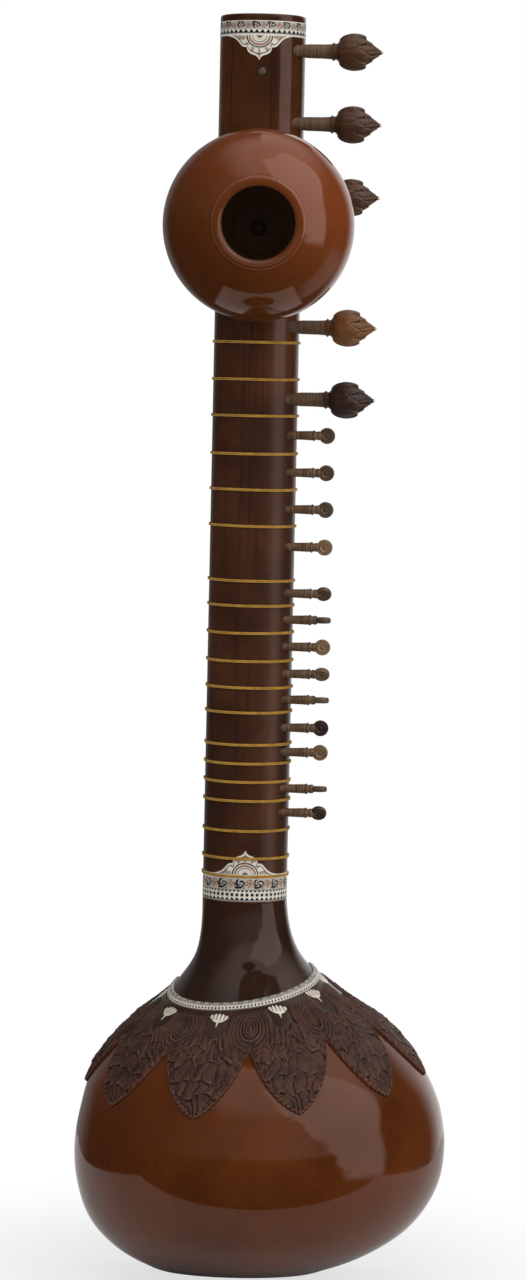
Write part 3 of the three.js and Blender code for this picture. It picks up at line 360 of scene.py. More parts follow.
body = {
    "halfNeck": 44, "neckDepth": 45,
    "halfGourd": 191, "gourdDepth": 250,
    "rimDepth": 10.3,  # how far the wall's front edge lies behind the fingerboard's face
    "smoothing": 6.0,
    # height; width, shift and depth between the neck's size (0) and the gourd's (1); then where
    # the widest line lies and how far the front swells, as shares of the depth
    "sections": [
        [0, 0.19, 0, 0.19, 0.643, 0.452],
        [0.008, 0.272, 0, 0.249, 0.573, 0.458],
        [0.031, 0.381, 0.007, 0.415, 0.446, 0.4],
        [0.078, 0.599, 0.041, 0.65, 0.359, 0.449],
        [0.156, 0.83, 0.088, 0.849, 0.32, 0.511],
        [0.26, 0.966, 0.129, 0.966, 0.305, 0.597],
        [0.364, 1, 0.143, 1, 0.304, 0.64],
        [0.468, 0.963, 0.15, 0.966, 0.305, 0.679],
        [0.558, 0.878, 0.136, 0.873, 0.304, 0.714],
        [0.636, 0.728, 0.133, 0.722, 0.3, 0.751],
        [0.701, 0.544, 0.129, 0.546, 0.299, 0.796],
        [0.753, 0.333, 0.102, 0.376, 0.303, 0.861],
        [0.792, 0.214, 0.071, 0.254, 0.309, 0.928],
        [0.844, 0.088, 0.041, 0.122, 0.314, 1.07],
        [0.909, 0.024, 0.017, 0.034, 0.27, 1.154],
        [1, 0, 0, 0, 0.133, 1.02],
    ],
    "seam": 309, "seamSideLean": 0.116, "seamBackLean": 0.153,  # its height and its rise to a millimetre
    "gourdRows": 150, "gourdColumns": 240, "jointRows": 70, "jointColumns": 160,
}


# The sections joined by cubics, then eased by a bell curve over the height so that gloss runs evenly
def sampledSections():
    table = np.array(body["sections"])
    width, shift, depth, centre, front = table[:, 1:].T
    sectionDepth = body["neckDepth"] + depth * (body["gourdDepth"] - body["neckDepth"])
    swell = body["halfGourd"] - body["halfNeck"]
    values = np.stack([body["halfNeck"] + width * swell, shift * swell, sectionDepth,
                       centre * sectionDepth, front * sectionDepth], -1)
    heights = np.linspace(0, neckFoot, 1541)
    curve = curveThrough(table[:, 0] * neckFoot, values, heights)
    step = heights[1]
    reach = int(3 * body["smoothing"] / step)
    bell = np.exp(-0.5 * (np.arange(-reach, reach + 1) * step / body["smoothing"]) ** 2)
    padded = np.pad(curve, ((reach, reach), (0, 0)), mode="reflect", reflect_type="odd")
    eased = np.stack([np.convolve(column, bell / bell.sum(), mode="valid") for column in padded.T], -1)
    share = smoothStep(heights, 3, 30)[:, None]  # the narrow curve at the ground stays as it is
    return heights, curve + (eased - curve) * share


sectionHeights, sectionValues = sampledSections()


def bodyAt(height):
    return [np.interp(height, sectionHeights, column) for column in sectionValues.T]


# A point of the wall: a half oval behind the widest line and another in front of it
def bodyPoint(height, angle):
    height, angle = np.broadcast_arrays(height, angle)
    halfWidth, shift, depth, centre, front = bodyAt(height)
    reach = np.where(np.sin(angle) > 0, front, depth - centre)
    return np.stack([shift + halfWidth * np.cos(angle), reach * np.sin(angle) - centre + faceY, height], -1)


# The wall's two directions, in millimetres to a radian and to a millimetre of height
def bodySteps(height, angle):
    around = (bodyPoint(height, angle + 0.004) - bodyPoint(height, angle - 0.004)) / 0.008
    upward = (bodyPoint(height + 0.8, angle) - bodyPoint(height - 0.8, angle)) / 1.6
    return around, upward


# The wall's point moved out along its normal
def skin(height, angle, lift):
    around, upward = bodySteps(height, angle)
    outward = unit(np.cross(around, upward))
    return bodyPoint(height, angle) + outward * np.broadcast_to(lift, outward.shape[:-1])[..., None]


# Height at which the leaning seam, or a line below it, meets the wall
def seamAt(angle, below=0.0):
    height = np.full(np.shape(angle), float(body["seam"]))
    for settle in range(12):
        point = bodyPoint(height, angle)
        height = (body["seam"] + body["seamSideLean"] * point[..., 0]
                  + body["seamBackLean"] * (point[..., 1] - faceY) - below)
    return height


# Closed rings round the wall from its right front edge by the back to its left, and straight
# across the front; the rings pass evenly from the lower edge's line to the upper's
def wall(form, lower, upper, shares, columns, across=16):
    shares = np.asarray(shares)[:, None]

    def heightAt(angle):
        return lower(angle) + shares * (upper(angle) - lower(angle))

    def rimAngle(angle, left):
        for settle in range(10):
            halfWidth, shift, depth, centre, front = bodyAt(heightAt(angle))
            lean = np.arcsin(np.clip((centre - body["rimDepth"]) / front, -1, 1))
            angle = np.pi - lean if left else lean
        return angle

    right = rimAngle(np.zeros_like(shares), False)
    left = rimAngle(np.full_like(shares, np.pi), True)
    angle = right + np.linspace(0, 1, columns) * (left - 2 * np.pi - right)
    arc = bodyPoint(heightAt(angle), angle)
    share = np.linspace(0, 1, across + 2)[1:-1, None]
    chord = arc[:, -1:] * (1 - share) + arc[:, :1] * share
    form.rings(np.concatenate([arc, chord], 1))


gourd = Form()
gourdRows = np.linspace(0, 1, body["gourdRows"]) ** 1.3  # closer together at the ground
wall(gourd, lambda angle: 0 * angle, seamAt, gourdRows, body["gourdColumns"])
gourd.make("gourd", bowlLacquer, replaces=["gourd_bowl"], slot="bowl_lacquer", weld=True)

joint = Form()
jointRows = np.linspace(0, 1, body["jointRows"])
wall(joint, seamAt, lambda angle: 0 * angle + neckFoot - seatGap, jointRows, body["jointColumns"])
joint.make("joint", jointLacquer, replaces=["neck_joint"], slot="joint_lacquer", weld=True)
print("bowl and joint shaped")


# ---- inlaid ring over the seam

ring = {"halfWidth": 3.1, "proud": 2.3, "sides": 20, "steps": 300}


# The ring's section is a low dome, the sine of its turn to a power; its path follows the seam
# round the back
def seamRing():
    start = 0.0
    for settle in range(10):
        centre, front = bodyAt(seamAt(start))[3:]
        start = math.asin((centre - body["rimDepth"]) / front)
    angle = np.linspace(start, -np.pi - start, ring["steps"])[:, None]
    turn = fullTurn(ring["sides"])[None]
    across = np.cos(turn)
    lift = np.where(np.sin(turn) > 0, 0.3 + ring["proud"] * np.abs(np.sin(turn)) ** 0.7, -0.8)
    height = seamAt(angle) + across * ring["halfWidth"]
    line = bodyPoint(seamAt(angle[:, 0]), angle[:, 0])
    along = runAlong(line)
    form = Form()
    form.rings(skin(height, angle, lift), along=along[:, None], across=across)
    return form


# Engraved bone: an ivory ground that patterns of ink are laid over
def ivory(paint):
    ground = paint.clouds(60, (226, 220, 209), (204, 196, 182))[0]
    pores = paint.ease(paint.noise(paint.place, 420, 2), 0.6, 0.72)
    return paint.layers(ground, (pores * 0.35, 150, 132, 110))


# Place in the step of a pattern that repeats along a strip, from -0.5 to 0.5
def stepOf(paint, along, period):
    return paint.math("FRACT", along * (1 / period)) - 0.5


# Scrolls: along a strip, blossoms of orange petals stand between whorls of dark leaves; a wandering
# of the coordinates makes them look drawn by hand. It gives the ink and the blossoms' colour.
def scroll(paint, along, across, period, half):
    drift = paint.noise(paint.place, 0.55 / (half * mm), 3, 0.6)
    sway = paint.noise(paint.scaled(paint.place, -1, 1, -1), 0.6 / (half * mm), 3)
    along = along + (drift - 0.5) * (half * 1.3)
    across = across + (sway - 0.5) * (half * 0.9)
    x = stepOf(paint, along, period) * period
    odd = stepOf(paint, along, period * 2) > 0
    distance = paint.math("SQRT", x * x + across * across)
    angle = paint.math("ARCTAN2", across, x)
    whorl = paint.ease(paint.swing(angle * 3 + distance * (7.5 / half)), 0.42, 0.6) * odd
    petals = paint.swing(angle * 6 - distance * (1.5 / half))
    blossom = (1 - paint.ease(distance, half * 0.75, half * 0.95)) * (1 - odd)
    vine = abs(across - paint.math("SINE", along * (math.pi / period)) * (half * 0.8))
    stem = (1 - paint.ease(vine, half * 0.14, half * 0.28)) * (1 - blossom)
    heart = 1 - paint.ease(distance, half * 0.14, half * 0.24)
    outline = blossom * paint.between(petals, 0.3, 0.5, 0.12)
    ink = paint.math("MAXIMUM", paint.math("MAXIMUM", whorl, stem), outline * 0.8 + heart * (1 - odd))
    return ink, blossom * paint.ease(petals, 0.35, 0.6)


# A row of pointed teeth along a strip, from their base to their points
def teeth(paint, along, across, period, base, point):
    share = (across - base) * (1 / (point - base))
    inside = 1 - paint.ease(abs(stepOf(paint, along, period)) * 2 + share, 0.95, 1.08)
    return inside * paint.ease(share, -0.02, 0.05)


# A row of round dots along a strip
def dots(paint, along, across, period, middle, radius):
    x = stepOf(paint, along, period) * period
    y = across - middle
    return 1 - paint.ease(paint.math("SQRT", x * x + y * y), radius - 0.2, radius + 0.2)


def ringFinish():
    paint = Paint("ring inlay")
    along, across = paint.read("along"), paint.read("across") * -4.6 + 4.6  # from the upper edge down
    ink, blossom = scroll(paint, along, across - 2.9, 5.2, 2.3)
    strip = paint.between(across, 0.6, 5.2)
    wear = paint.ease(paint.noise(paint.place, 240, 3), 0.25, 0.45)
    edge = paint.ease(across, 8.5, 8.9) + (1 - paint.ease(across, 0.15, 0.45))
    colour = paint.layers(ivory(paint), (strip * 0.35, 140, 138, 126), (ink * strip * wear, 30, 28, 27),
                          (blossom * strip * 0.6, 124, 94, 66),
                          (dots(paint, along, across, 3.6, 7.4, 1.05), 26, 20, 24),
                          (paint.between(across, 5.0, 5.4), 104, 94, 90), (edge * 0.8, 92, 82, 90))
    return paint.finish(colour, 0.32, ink * strip * -1, 0.12)


seamRing().make("ring", ringFinish(), replaces=["shoulder_ring"], slot="bone")
print("ring laid")


# ---- carved leaves round the shoulder

leaves = {
    "count": 6, "start": 163, "sweep": 34.2,  # degrees
    "below": 2.9,  # the collar starts this far under the ring's middle line
    "valley": 34, "tip": 92, "halfArc": 42,
    "columns": 190, "rows": 230,
    "tiers": [0.0, 0.34, 0.5, 0.66, 0.81, 1.2],  # where the tiers of lobes part, as shares of the leaf
    "rosette": 15.5,  # how far the rosettes in the valleys lie below the ring
    "topEdge": 20,  # where the carving starts under the smooth collar
    "fanTop": 22, "fanFoot": 14,  # how far over the ring and under the tip the strokes would meet
    "archPitch": 4.1, "spiralPitch": 3.3, "beadPitch": 2.9,
    "root": 14.0,  # how deep behind the wall a leaf's back comes together
}


# A smooth wandering of the chisel: a sum of sines in chance directions, about 1 high at most
def wander(x, y, length, seed, waves=7):
    chance = np.random.default_rng(seed)
    total = 0
    for wave in range(waves):
        turn, phase = chance.uniform(0, 2 * np.pi, 2)
        pace = 2 * np.pi / (length * chance.uniform(0.7, 1.6))
        total = total + np.sin((x * np.cos(turn) + y * np.sin(turn)) * pace + phase)
    return total / waves * 1.6


# Ridges with round backs and sharp grooves between them, from 0 to 1
def ridges(phase):
    return np.abs(np.sin(phase / 2)) ** 0.8


# Height of the carving over the wall. A smooth collar lies under the ring. Spirals turn in the
# valleys inside arched ridges. Tiers of lobes ramp up and drop to the next, and strokes run over
# them, fanning out from the leaf's top and closing in again on its tip.
def carving(aside, drop, length, seed):
    x = aside * leaves["halfArc"]
    lean = np.clip(np.gradient(length, axis=1) / np.gradient(x, axis=1), -1.8, 1.8)
    edge = (length - drop) / np.sqrt(1 + lean ** 2)
    # the coordinates wander, as hand work does
    u = x + 2.2 * wander(x, drop, 17, seed) + 0.5 * wander(x, drop, 5, seed + 1)
    v = drop + 2.6 * wander(x, drop, 19, seed + 2) + 0.6 * wander(x, drop, 6, seed + 3)
    fromValley = (1 - np.abs(aside)) * leaves["halfArc"]
    down = drop - leaves["rosette"]
    bend = 1.1 * wander(x, drop, 13, seed + 4)
    ray = np.hypot(fromValley, down * 1.12) + bend * smoothStep(drop, 20, 30)
    around = np.arctan2(down, fromValley)
    share = v / leaves["tip"]
    # tiers of pointed lobes
    lobe = 0.05 * np.abs(np.sin(u * np.pi / 19 + 0.8)) - 0.045 * (u / leaves["halfArc"]) ** 2
    place = share + lobe
    ends = np.array(leaves["tiers"])
    tier = np.clip(np.searchsorted(ends, place, side="right") - 1, 0, len(ends) - 2)
    climb = np.clip((place - ends[tier]) / (ends[tier + 1] - ends[tier]), 0, 1)
    # strokes: a fan from the top turns into one that meets under the tip
    fan = np.arctan2(u, v + leaves["fanTop"])
    close = np.arctan2(u, leaves["tip"] + leaves["fanFoot"] - v)
    blend = smoothStep(share, 0.42, 0.78)
    strokes = ridges((fan * 52 + 3.2 * np.sin(v * 0.16 + tier * 2.1)) * (1 - blend)
                     + (close * 30 + 1.2 * np.sin(v * 0.2)) * blend + tier * 2.4)
    fine = ridges((fan * 150 + v * 0.5) * (1 - blend) + (close * 96 + v * 0.12) * blend)
    height = 1.5 + 1.15 * climb ** 1.5 + 0.8 * (1 - np.abs(aside) ** 1.5)
    deep = 0.8 + 0.9 * smoothStep(share, 0.35, 0.85)
    height += (strokes - 0.55) * deep * 1.25 * (0.5 + 0.5 * climb)
    height += (fine - 0.6) * 0.42
    # curls over the upper part
    curl = ridges(6 * np.sin(u * 0.17 + 0.6) + 0.55 * v + 3 * np.sin(v * 0.15))
    height += 0.75 * (curl - 0.6) * (1 - smoothStep(share, 0.4, 0.55))
    # arched ridges round the spiral, and the spiral
    arches = ridges((ray - 9.5) * 2 * np.pi / leaves["archPitch"]) - 0.5
    arches = arches + 0.4 * (ridges(around * 38 + ray * 0.7) - 0.6)
    spiral = 1.25 * (ridges(ray * 2 * np.pi / leaves["spiralPitch"] - around) - 0.5)
    spiral = spiral + 0.6 * np.exp(-(ray / 1.8) ** 2)
    arch = 1 - smoothStep(ray, 18, 27)
    height = height * (1 - arch) + (2.0 + arches) * arch
    disc = 1 - smoothStep(ray, 8.6, 9.6)
    height = height * (1 - disc) + (2.0 + spiral) * disc
    height -= 1.5 * np.exp(-((ray - 9.4) / 0.6) ** 2) * smoothStep(down, -4, 3)
    notch = np.exp(-((drop - leaves["valley"] + 3) / 4.5) ** 2 - (fromValley / 4) ** 2)
    height -= 3 * notch
    # the lip along the outline
    lip = np.exp(-((edge - 1.2) / 0.8) ** 2)
    run = np.cumsum(np.hypot(np.gradient(length, axis=1), np.gradient(x, axis=1)), axis=1)
    height += lip * (0.1 + 0.7 * ridges(run * 2 * np.pi / leaves["beadPitch"]))
    height -= 0.5 * np.exp(-((edge - 2.9) / 0.6) ** 2)
    # the collar stays smooth and the carving fades into it
    top = leaves["topEdge"] + 2.5 * np.cos(u * 0.24) + 1.2 * wander(x, drop, 9, seed + 5)
    fade = 1 - smoothStep(ray, 24, 29)
    fade = fade * smoothStep(drop, 1.5, 7)
    carved = np.maximum(fade, smoothStep(drop - top, -1.5, 1.5))
    height = 1.1 + (height - 1.1) * carved
    height = np.maximum(height, 0.8)
    return np.minimum(height, 0.15 + 3.4 * np.sqrt(np.clip(edge, 0, None) / 1.6)), carved, lip


# Rows run from the collar down to an outline that curves from the valleys to a pointed tip; the
# carving lifts each point off the wall
def carvedLeaf(index):
    form = Form()
    aside = np.linspace(-1, 1, leaves["columns"])[None]
    centre = math.radians(leaves["start"] + leaves["sweep"] * (index + 0.5))
    angle = centre + aside * math.radians(leaves["sweep"] / 2) + np.zeros((leaves["rows"], 1))
    pointed = 0.42 * np.abs(aside) + 0.58 * np.abs(aside) ** 2.1
    length = leaves["valley"] + (leaves["tip"] - leaves["valley"]) * (1 - pointed)
    length = length - 1.1 * np.abs(np.sin(aside * 40)) * (1 - np.abs(aside) ** 8) + 0 * angle
    drop = length * np.linspace(0, 1, leaves["rows"])[:, None]
    height = seamAt(angle, leaves["below"]) - drop
    lift, carved, lip = carving(aside + 0 * angle, drop, length, 20 + 7 * index)
    lift[-1] = -0.4
    row, column = leaves["rows"] // 2, leaves["columns"] // 2
    middle = skin(height[row, column], angle[row, column], -leaves["root"])
    # hollow and broad are the fine and the wide relief, which the finish paints as highlight on the ridges
    # and shade in the hollows
    form.cover(skin(height, angle, lift), middle, hollow=relief(lift, 3), broad=relief(lift, 9),
               carved=carved, lip=lip)
    return form


# Dark carved wood: painted shade darkens the grooves and broad hollows, a painted highlight lightens the
# ridges to a warm brown, and the collar keeps its lacquer
def carvedFinish():
    paint = Paint("carved wood")
    hollow, broad, carved, lip = paint.read("hollow", "broad", "carved", "lip")
    base = paint.clouds(45, (50, 31, 24), (76, 49, 39))[0]
    # the red-brown lip is the wood's own colour; the relief lays a painted highlight on the ridges and
    # painted shade in the grooves and broad hollows
    base = paint.layers(base, (lip * 0.6, 98, 50, 32), (paint.ease(hollow, 0.1, 0.8) * 0.5, 112, 86, 74),
                        (paint.ease(hollow * -1, 0.0, 0.6) * 0.8, 16, 8, 6),
                        (paint.ease(broad * -1, 0.3, 1.4) * 0.55, 18, 9, 7))
    smooth = paint.clouds(45, (44, 28, 23), (55, 35, 28))[0]
    fine = paint.noise(paint.place, 620, 3, 0.6)
    return paint.finish(paint.mix(carved, smooth, base), 0.16 + carved * 0.26, fine * carved, 0.3,
                        Specular_IOR_Level=0.32, Specular_Tint=warm)


carvedWood = carvedFinish()
for index in range(leaves["count"]):
    garland = ["leaf_garland"] if index == 0 else []
    carvedLeaf(index).make(f"leaf_{index + 1}", carvedWood, replaces=garland, slot="carved_wood", sharp=80)
print("leaves carved")


# ---- lotus palmettes let into the collar

palmette = {"below": 4.4, "half": 9.4, "cup": 5.4, "stem": 11.0, "lobes": 5, "proud": 0.55}


# The cup is a sheet between a round lower edge and an upper edge of five pointed lobes, the middle
# one the tallest; a thin spike hangs under it
def palmettes():
    form = Form()
    share = np.linspace(0, 1, 20)[:, None]
    across = np.linspace(-1, 1, 61)[None]
    lobe = 1 - 2 * np.abs(np.mod(across * palmette["lobes"] / 2 + 0.5, 1) - 0.5)
    upper = 2.6 + 3.2 * (1 - across ** 2) + 4.2 * lobe ** 0.7 * (1 - 0.35 * across ** 2)
    lower = -palmette["cup"] * (1 - np.abs(across) ** 1.8) + 2.4 * np.abs(across) ** 3
    cup = (across * palmette["half"] * (1 + 0.12 * share), lower + share * (upper - lower), across, lobe)
    half = 0.25 + 0.95 * share ** 1.5
    hang = -palmette["cup"] - palmette["stem"] * (1 - share) * 0.62 + 0.6 * share
    spike = (across * half, hang, 0.0, 1.0)
    edge = np.clip(np.minimum(share, 1 - share) * 8, 0, 1)
    for index in range(leaves["count"]):
        centre = math.radians(leaves["start"] + leaves["sweep"] * (index + 0.5))
        middle = seamAt(np.array(centre), palmette["below"] + 3)
        around, upward = bodySteps(middle, np.array(centre))
        wide, tall = np.linalg.norm(around), np.linalg.norm(upward)
        for p, q, side, petal in (cup, spike):
            lift = 0.95 + palmette["proud"] * np.sqrt(edge) * np.sqrt(1 - 0.9 * side ** 8) + 0 * p
            front, back = (skin(middle + q / tall, centre - p / wide, level) for level in (lift, seatGap))
            form.slab(front, back, petal=petal, height=q, edge=edge)
    return form


def palmetteFinish():
    paint = Paint("palmette inlay")
    petal, height, edge = paint.read("petal", "height", "edge")
    vein = (1 - paint.ease(petal, 0.25, 0.6)) * paint.ease(height, -2.5, -0.5)
    colour = paint.layers(ivory(paint), (vein * 0.75, 128, 84, 56),
                          ((1 - paint.ease(edge, 0.1, 0.5)) * 0.5, 112, 76, 52))
    return paint.finish(colour, 0.35, paint.noise(paint.place, 500, 2), 0.05)


palmettes().make("palmettes", palmetteFinish(), slot="bone")
print("palmettes let in")


# ---- neck

neckShape = {
    "half": 44, "round": 39,  # half width, and depth of the oval back behind the plate
    "plate": 6,  # thickness of the fingerboard
    "cap": 7, "edge": 2.6, "rows": 200,
}


# The oval back of the neck, from its left side by the back to its right, grown outward
def backArc(grow, steps):
    angle = np.linspace(np.pi, 2 * np.pi, steps)
    return ((neckShape["half"] + grow) * np.cos(angle),
            (neckShape["round"] + grow) * np.sin(angle) - neckShape["plate"])


# Outline across the neck: the oval back and a flat front line
def neckOutline(front, steps=96):
    arc = np.stack(backArc(0, steps), -1)
    x = np.linspace(1, -1, 25)[:, None] * neckShape["half"]
    return np.vstack([arc, np.hstack([x, np.full_like(x, front)])])


# The outline at each height, shrunk toward its middle by the height's scale
def alongNeck(outline, heights, scale=1.0):
    points = np.empty((len(heights), len(outline), 3))
    scale = np.broadcast_to(scale, len(heights))[:, None]
    middle = -neckShape["plate"] * 2
    points[..., 0] = outline[:, 0] * scale
    points[..., 1] = (outline[:, 1] - middle) * scale + middle + faceY
    points[..., 2] = np.asarray(heights)[:, None]
    return points


neck = Form()
capBase = neckTop - neckShape["cap"]
neckHeights = np.linspace(neckFoot + 0.2, capBase + 0.5, neckShape["rows"])
neck.rings(alongNeck(neckOutline(-neckShape["plate"] - 0.2), neckHeights))
bend = np.linspace(0, np.pi / 2, 10)
capHeights = np.concatenate([[capBase, capBase + 2], neckTop - neckShape["edge"] * (1 - np.sin(bend))])
capScale = 1 - neckShape["edge"] / neckShape["half"] * np.concatenate([[0, 0], 1 - np.cos(bend)])
neck.rings(alongNeck(neckOutline(-0.1), capHeights, capScale))
neck.make("neck_shell", neckLacquer, replaces=["neck"], slot="neck_lacquer")
print("neck shaped")


# ---- engraved bands at the head and the foot of the neck

band = {
    "thickness": 1.2, "proud": 0.12,  # into the neck's wall and over it
    # how far from its middle the pendant's edge lies, and how deep it hangs there
    "aside": [0, 1, 2.5, 4.5, 7.5, 10, 11.8, 12.7, 13, 15, 17.2, 19, 20.8, 22.8, 25.5, 28.5, 32, 34],
    "hang": [25.2, 23.2, 21.4, 20.2, 19.2, 17.9, 16, 13.6, 11.6, 11.9, 11.2, 9.6, 7.4, 5, 2.9, 1.4, 0.3, 0],
    # courses from each band's outer edge in: the strip of scrolls with its middle, period and half
    # height, the teeth by period, base and point, the dots by period, middle and radius, two lines
    "head": {"width": 15.3, "strip": (0.9, 7.9), "scroll": (4.4, 8.2, 3.6), "scrollInk": (32, 28, 32),
             "teeth": [(5.8, 12.5, 8.8)], "teethInk": (20, 16, 18), "dots": [],
             "lines": ((12.5, 13.3), (8.2, 8.6))},
    "foot": {"width": 28.0, "strip": (13.2, 23.2), "scroll": (18.2, 9.8, 4.8), "scrollInk": (36, 32, 36),
             "teeth": [(5.3, 1.2, 4.4), (4.4, 12.0, 9.4)], "teethInk": (26, 22, 24),
             "dots": [(5.3, 6.9, 1.7)], "lines": ((0.3, 1.0), (12.3, 12.8))},
}


# Edge of the pendant: from a scalloped shoulder in to a cusp, then a lobe with a point
def pendantEdge(x):
    return np.interp(np.abs(x), band["aside"], band["hang"])


# A sheet round the neck's back, from a straight edge at the base height to the pendant's edge
def bandForm(base, width, toward, middle=0.0):
    form = Form()
    share = np.linspace(0, 1, 90)[:, None]

    def surface(grow):
        x, y = backArc(grow, 321)
        x = np.concatenate([[x[0]], x, [x[-1]]])
        y = np.concatenate([[-0.1], y, [-0.1]])
        depth = share * (width + pendantEdge(x - middle))
        return pointsOf(x, y + faceY, base + toward * depth), x, depth

    front, x, depth = surface(band["proud"])
    back = surface(-band["thickness"])[0]
    run = runAlong(front[0])
    run = run - np.interp(middle, x[1:-1], run[1:-1])
    slope = np.gradient(pendantEdge(x - middle)) / np.maximum(np.gradient(run), 0.01)
    border = (width + pendantEdge(x - middle) - depth) / np.sqrt(1 + np.clip(slope, -1.5, 1.5) ** 2)
    form.slab(front, back, along=run, depth=depth, border=border)
    return form


# The pendant's own engraving: a pale border inside a dark line, two half rings round a flower,
# and petals that stand out from them
def pendant(paint, colour, along, depth, border, width):
    y = depth - width
    inside = paint.ease(y, 0.0, 0.3) * paint.ease(border, 2.6, 2.9)
    ray = paint.math("SQRT", along * along + y * y * 1.25)
    angle = paint.math("ARCTAN2", y, along)
    wobble = paint.noise(paint.place, 240, 3) - 0.5
    streak = paint.ease(paint.swing(angle * 13 + wobble * 4), 0.5, 0.75) * paint.ease(ray, 14.4, 15.2)
    flower = paint.math("SINE", angle * 9) * 0.8 + 2.7
    edge = paint.between(border, 2.0, 2.9, 0.14) * paint.ease(y, -0.4, 0.0)
    return paint.layers(colour, (inside * streak * 0.7, 122, 88, 66),
                        (inside * paint.between(ray + wobble * 1.6, 12.6, 14.0, 0.3), 36, 30, 32),
                        (inside * paint.between(ray + wobble * 2, 9.4, 11.6, 0.4) * 0.9, 146, 92, 58),
                        (inside * paint.between(ray, 7.2, 7.9), 64, 54, 52),
                        (inside * (1 - paint.ease(ray - flower, -0.3, 0.3)), 40, 32, 32),
                        (edge, 40, 32, 34))


def bandFinish(name):
    paint = Paint(name + " band inlay")
    courses = band[name]
    along, depth, border = paint.read("along", "depth", "border")
    middle, period, half = courses["scroll"]
    strip = paint.between(depth, *courses["strip"])
    ink, blossom = scroll(paint, along, depth - middle, period, half)
    coats = [(strip * 0.5, 136, 128, 122), (strip * ink, *courses["scrollInk"])]
    coats += [(strip * blossom, 168, 112, 80)]
    coats += [(teeth(paint, along, depth, *row), *courses["teethInk"]) for row in courses["teeth"]]
    coats += [(dots(paint, along, depth, *row), 34, 28, 30) for row in courses["dots"]]
    coats += [(paint.between(depth, *line), *colour)
              for line, colour in zip(courses["lines"], ((88, 78, 88), (96, 84, 76)))]
    colour = pendant(paint, paint.layers(ivory(paint), *coats), along, depth, border, courses["width"])
    return paint.finish(colour, 0.34, (ink * strip) * -1, 0.12)


headBand = bandForm(capBase - 0.1, band["head"]["width"], -1, -3.4)
headBand.make("head_inlay", bandFinish("head"), replaces=["head_band"], slot="bone")
bandForm(neckFoot + 2, band["foot"]["width"], 1).make("foot_inlay", bandFinish("foot"), slot="bone")


# A bar along the neck: its section is a squared oval, drawn in at both ends
def bar(form, left, right, back, front, low, high, edge=0.8):
    turn = fullTurn(24)
    power = 0.35
    x = np.sign(np.cos(turn)) * np.abs(np.cos(turn)) ** power
    y = np.sign(np.sin(turn)) * np.abs(np.sin(turn)) ** power
    heights = np.array([low, low + edge, (low + high) / 2, high - edge, high])
    shrink = np.array([0.8, 1, 1, 1, 0.8])[:, None]
    form.rings(pointsOf((left + right) / 2 + shrink * x * (right - left) / 2,
                        faceY + (back + front) / 2 + shrink * y * (front - back) / 2, heights[:, None]))


binding = Form()
bindingTop = corners("edge_binding")[1]
boneRim = {"inner": 40, "outer": 44, "postX": 42, "postBack": 3, "posts": (941.97, 867.91),
           "postRadius": [1.8, 1.8, 1.8, 1.8, 1.75, 1.3]}
for side in (-1, 1):
    left, right = sorted([side * boneRim["inner"], side * boneRim["outer"]])
    bar(binding, left, right, -neckShape["plate"], -0.05, neckFoot + 2.2, bindingTop[2])
for station in boneRim["posts"]:
    post = np.linspace([boneRim["postX"], faceY - boneRim["postBack"], station],
                       [boneRim["postX"], bindingTop[1] - 0.6, station], len(boneRim["postRadius"]))
    tube(binding, post, np.array(boneRim["postRadius"]), 14)


def boneFinish():
    paint = Paint("polished bone")
    fibre = paint.fibre(300, 300, 18, 4, 0.6)
    colour = paint.layers(ivory(paint), (paint.ease(fibre, 0.35, 0.7), 196, 184, 158))
    return paint.finish(colour, 0.3, fibre, 0.06)


bone = boneFinish()
binding.make("neck_binding", bone, replaces=["edge_binding"], slot="bone")
print("bands and bindings laid")


# ---- tied frets

fretShape = {
    "foot": 42.2, "rise": 9.6, "radius": 2.5,  # half span, rise and radius of the rod
    "stand": 2.9,  # how far its feet's middle line stands over the fingerboard
    "thread": 0.72, "turns": 4, "coilPitch": 3.4,  # radius of the thread; its turns and their length in all
    "tieEnd": [-43.4, 3.4],  # where a thread ends, beside the rod's foot
}


# Brushed metal: two tones that drift into each other, and scratches with a scale along each axis
def metalFinish(name, dark, light, roughness, scale=160, spread=0.2, scratches=(900, 60, 900)):
    paint = Paint(name)
    colour, cloud = paint.clouds(scale, dark, light)
    return paint.finish(colour, cloud * spread + roughness, paint.fibre(*scratches), 0.03, Metallic=1.0)


def threadFinish():
    paint = Paint("fret thread")
    along, turn = paint.read("along", "turn")
    lay = paint.swing(along * (2 * math.pi / 1.5) + turn * 2)
    colour = paint.clouds(130, (222, 172, 72), (184, 134, 50), 0.3, 0.75, 0.7)[0]
    return paint.finish(paint.layers(colour, ((1 - lay) * 0.4, 116, 78, 28)), 0.6, lay, 0.25)


brass = metalFinish("fret brass", (206, 168, 92), (164, 126, 62), 0.2, 90, 0.15, (60, 60, 1400))
thread = threadFinish()


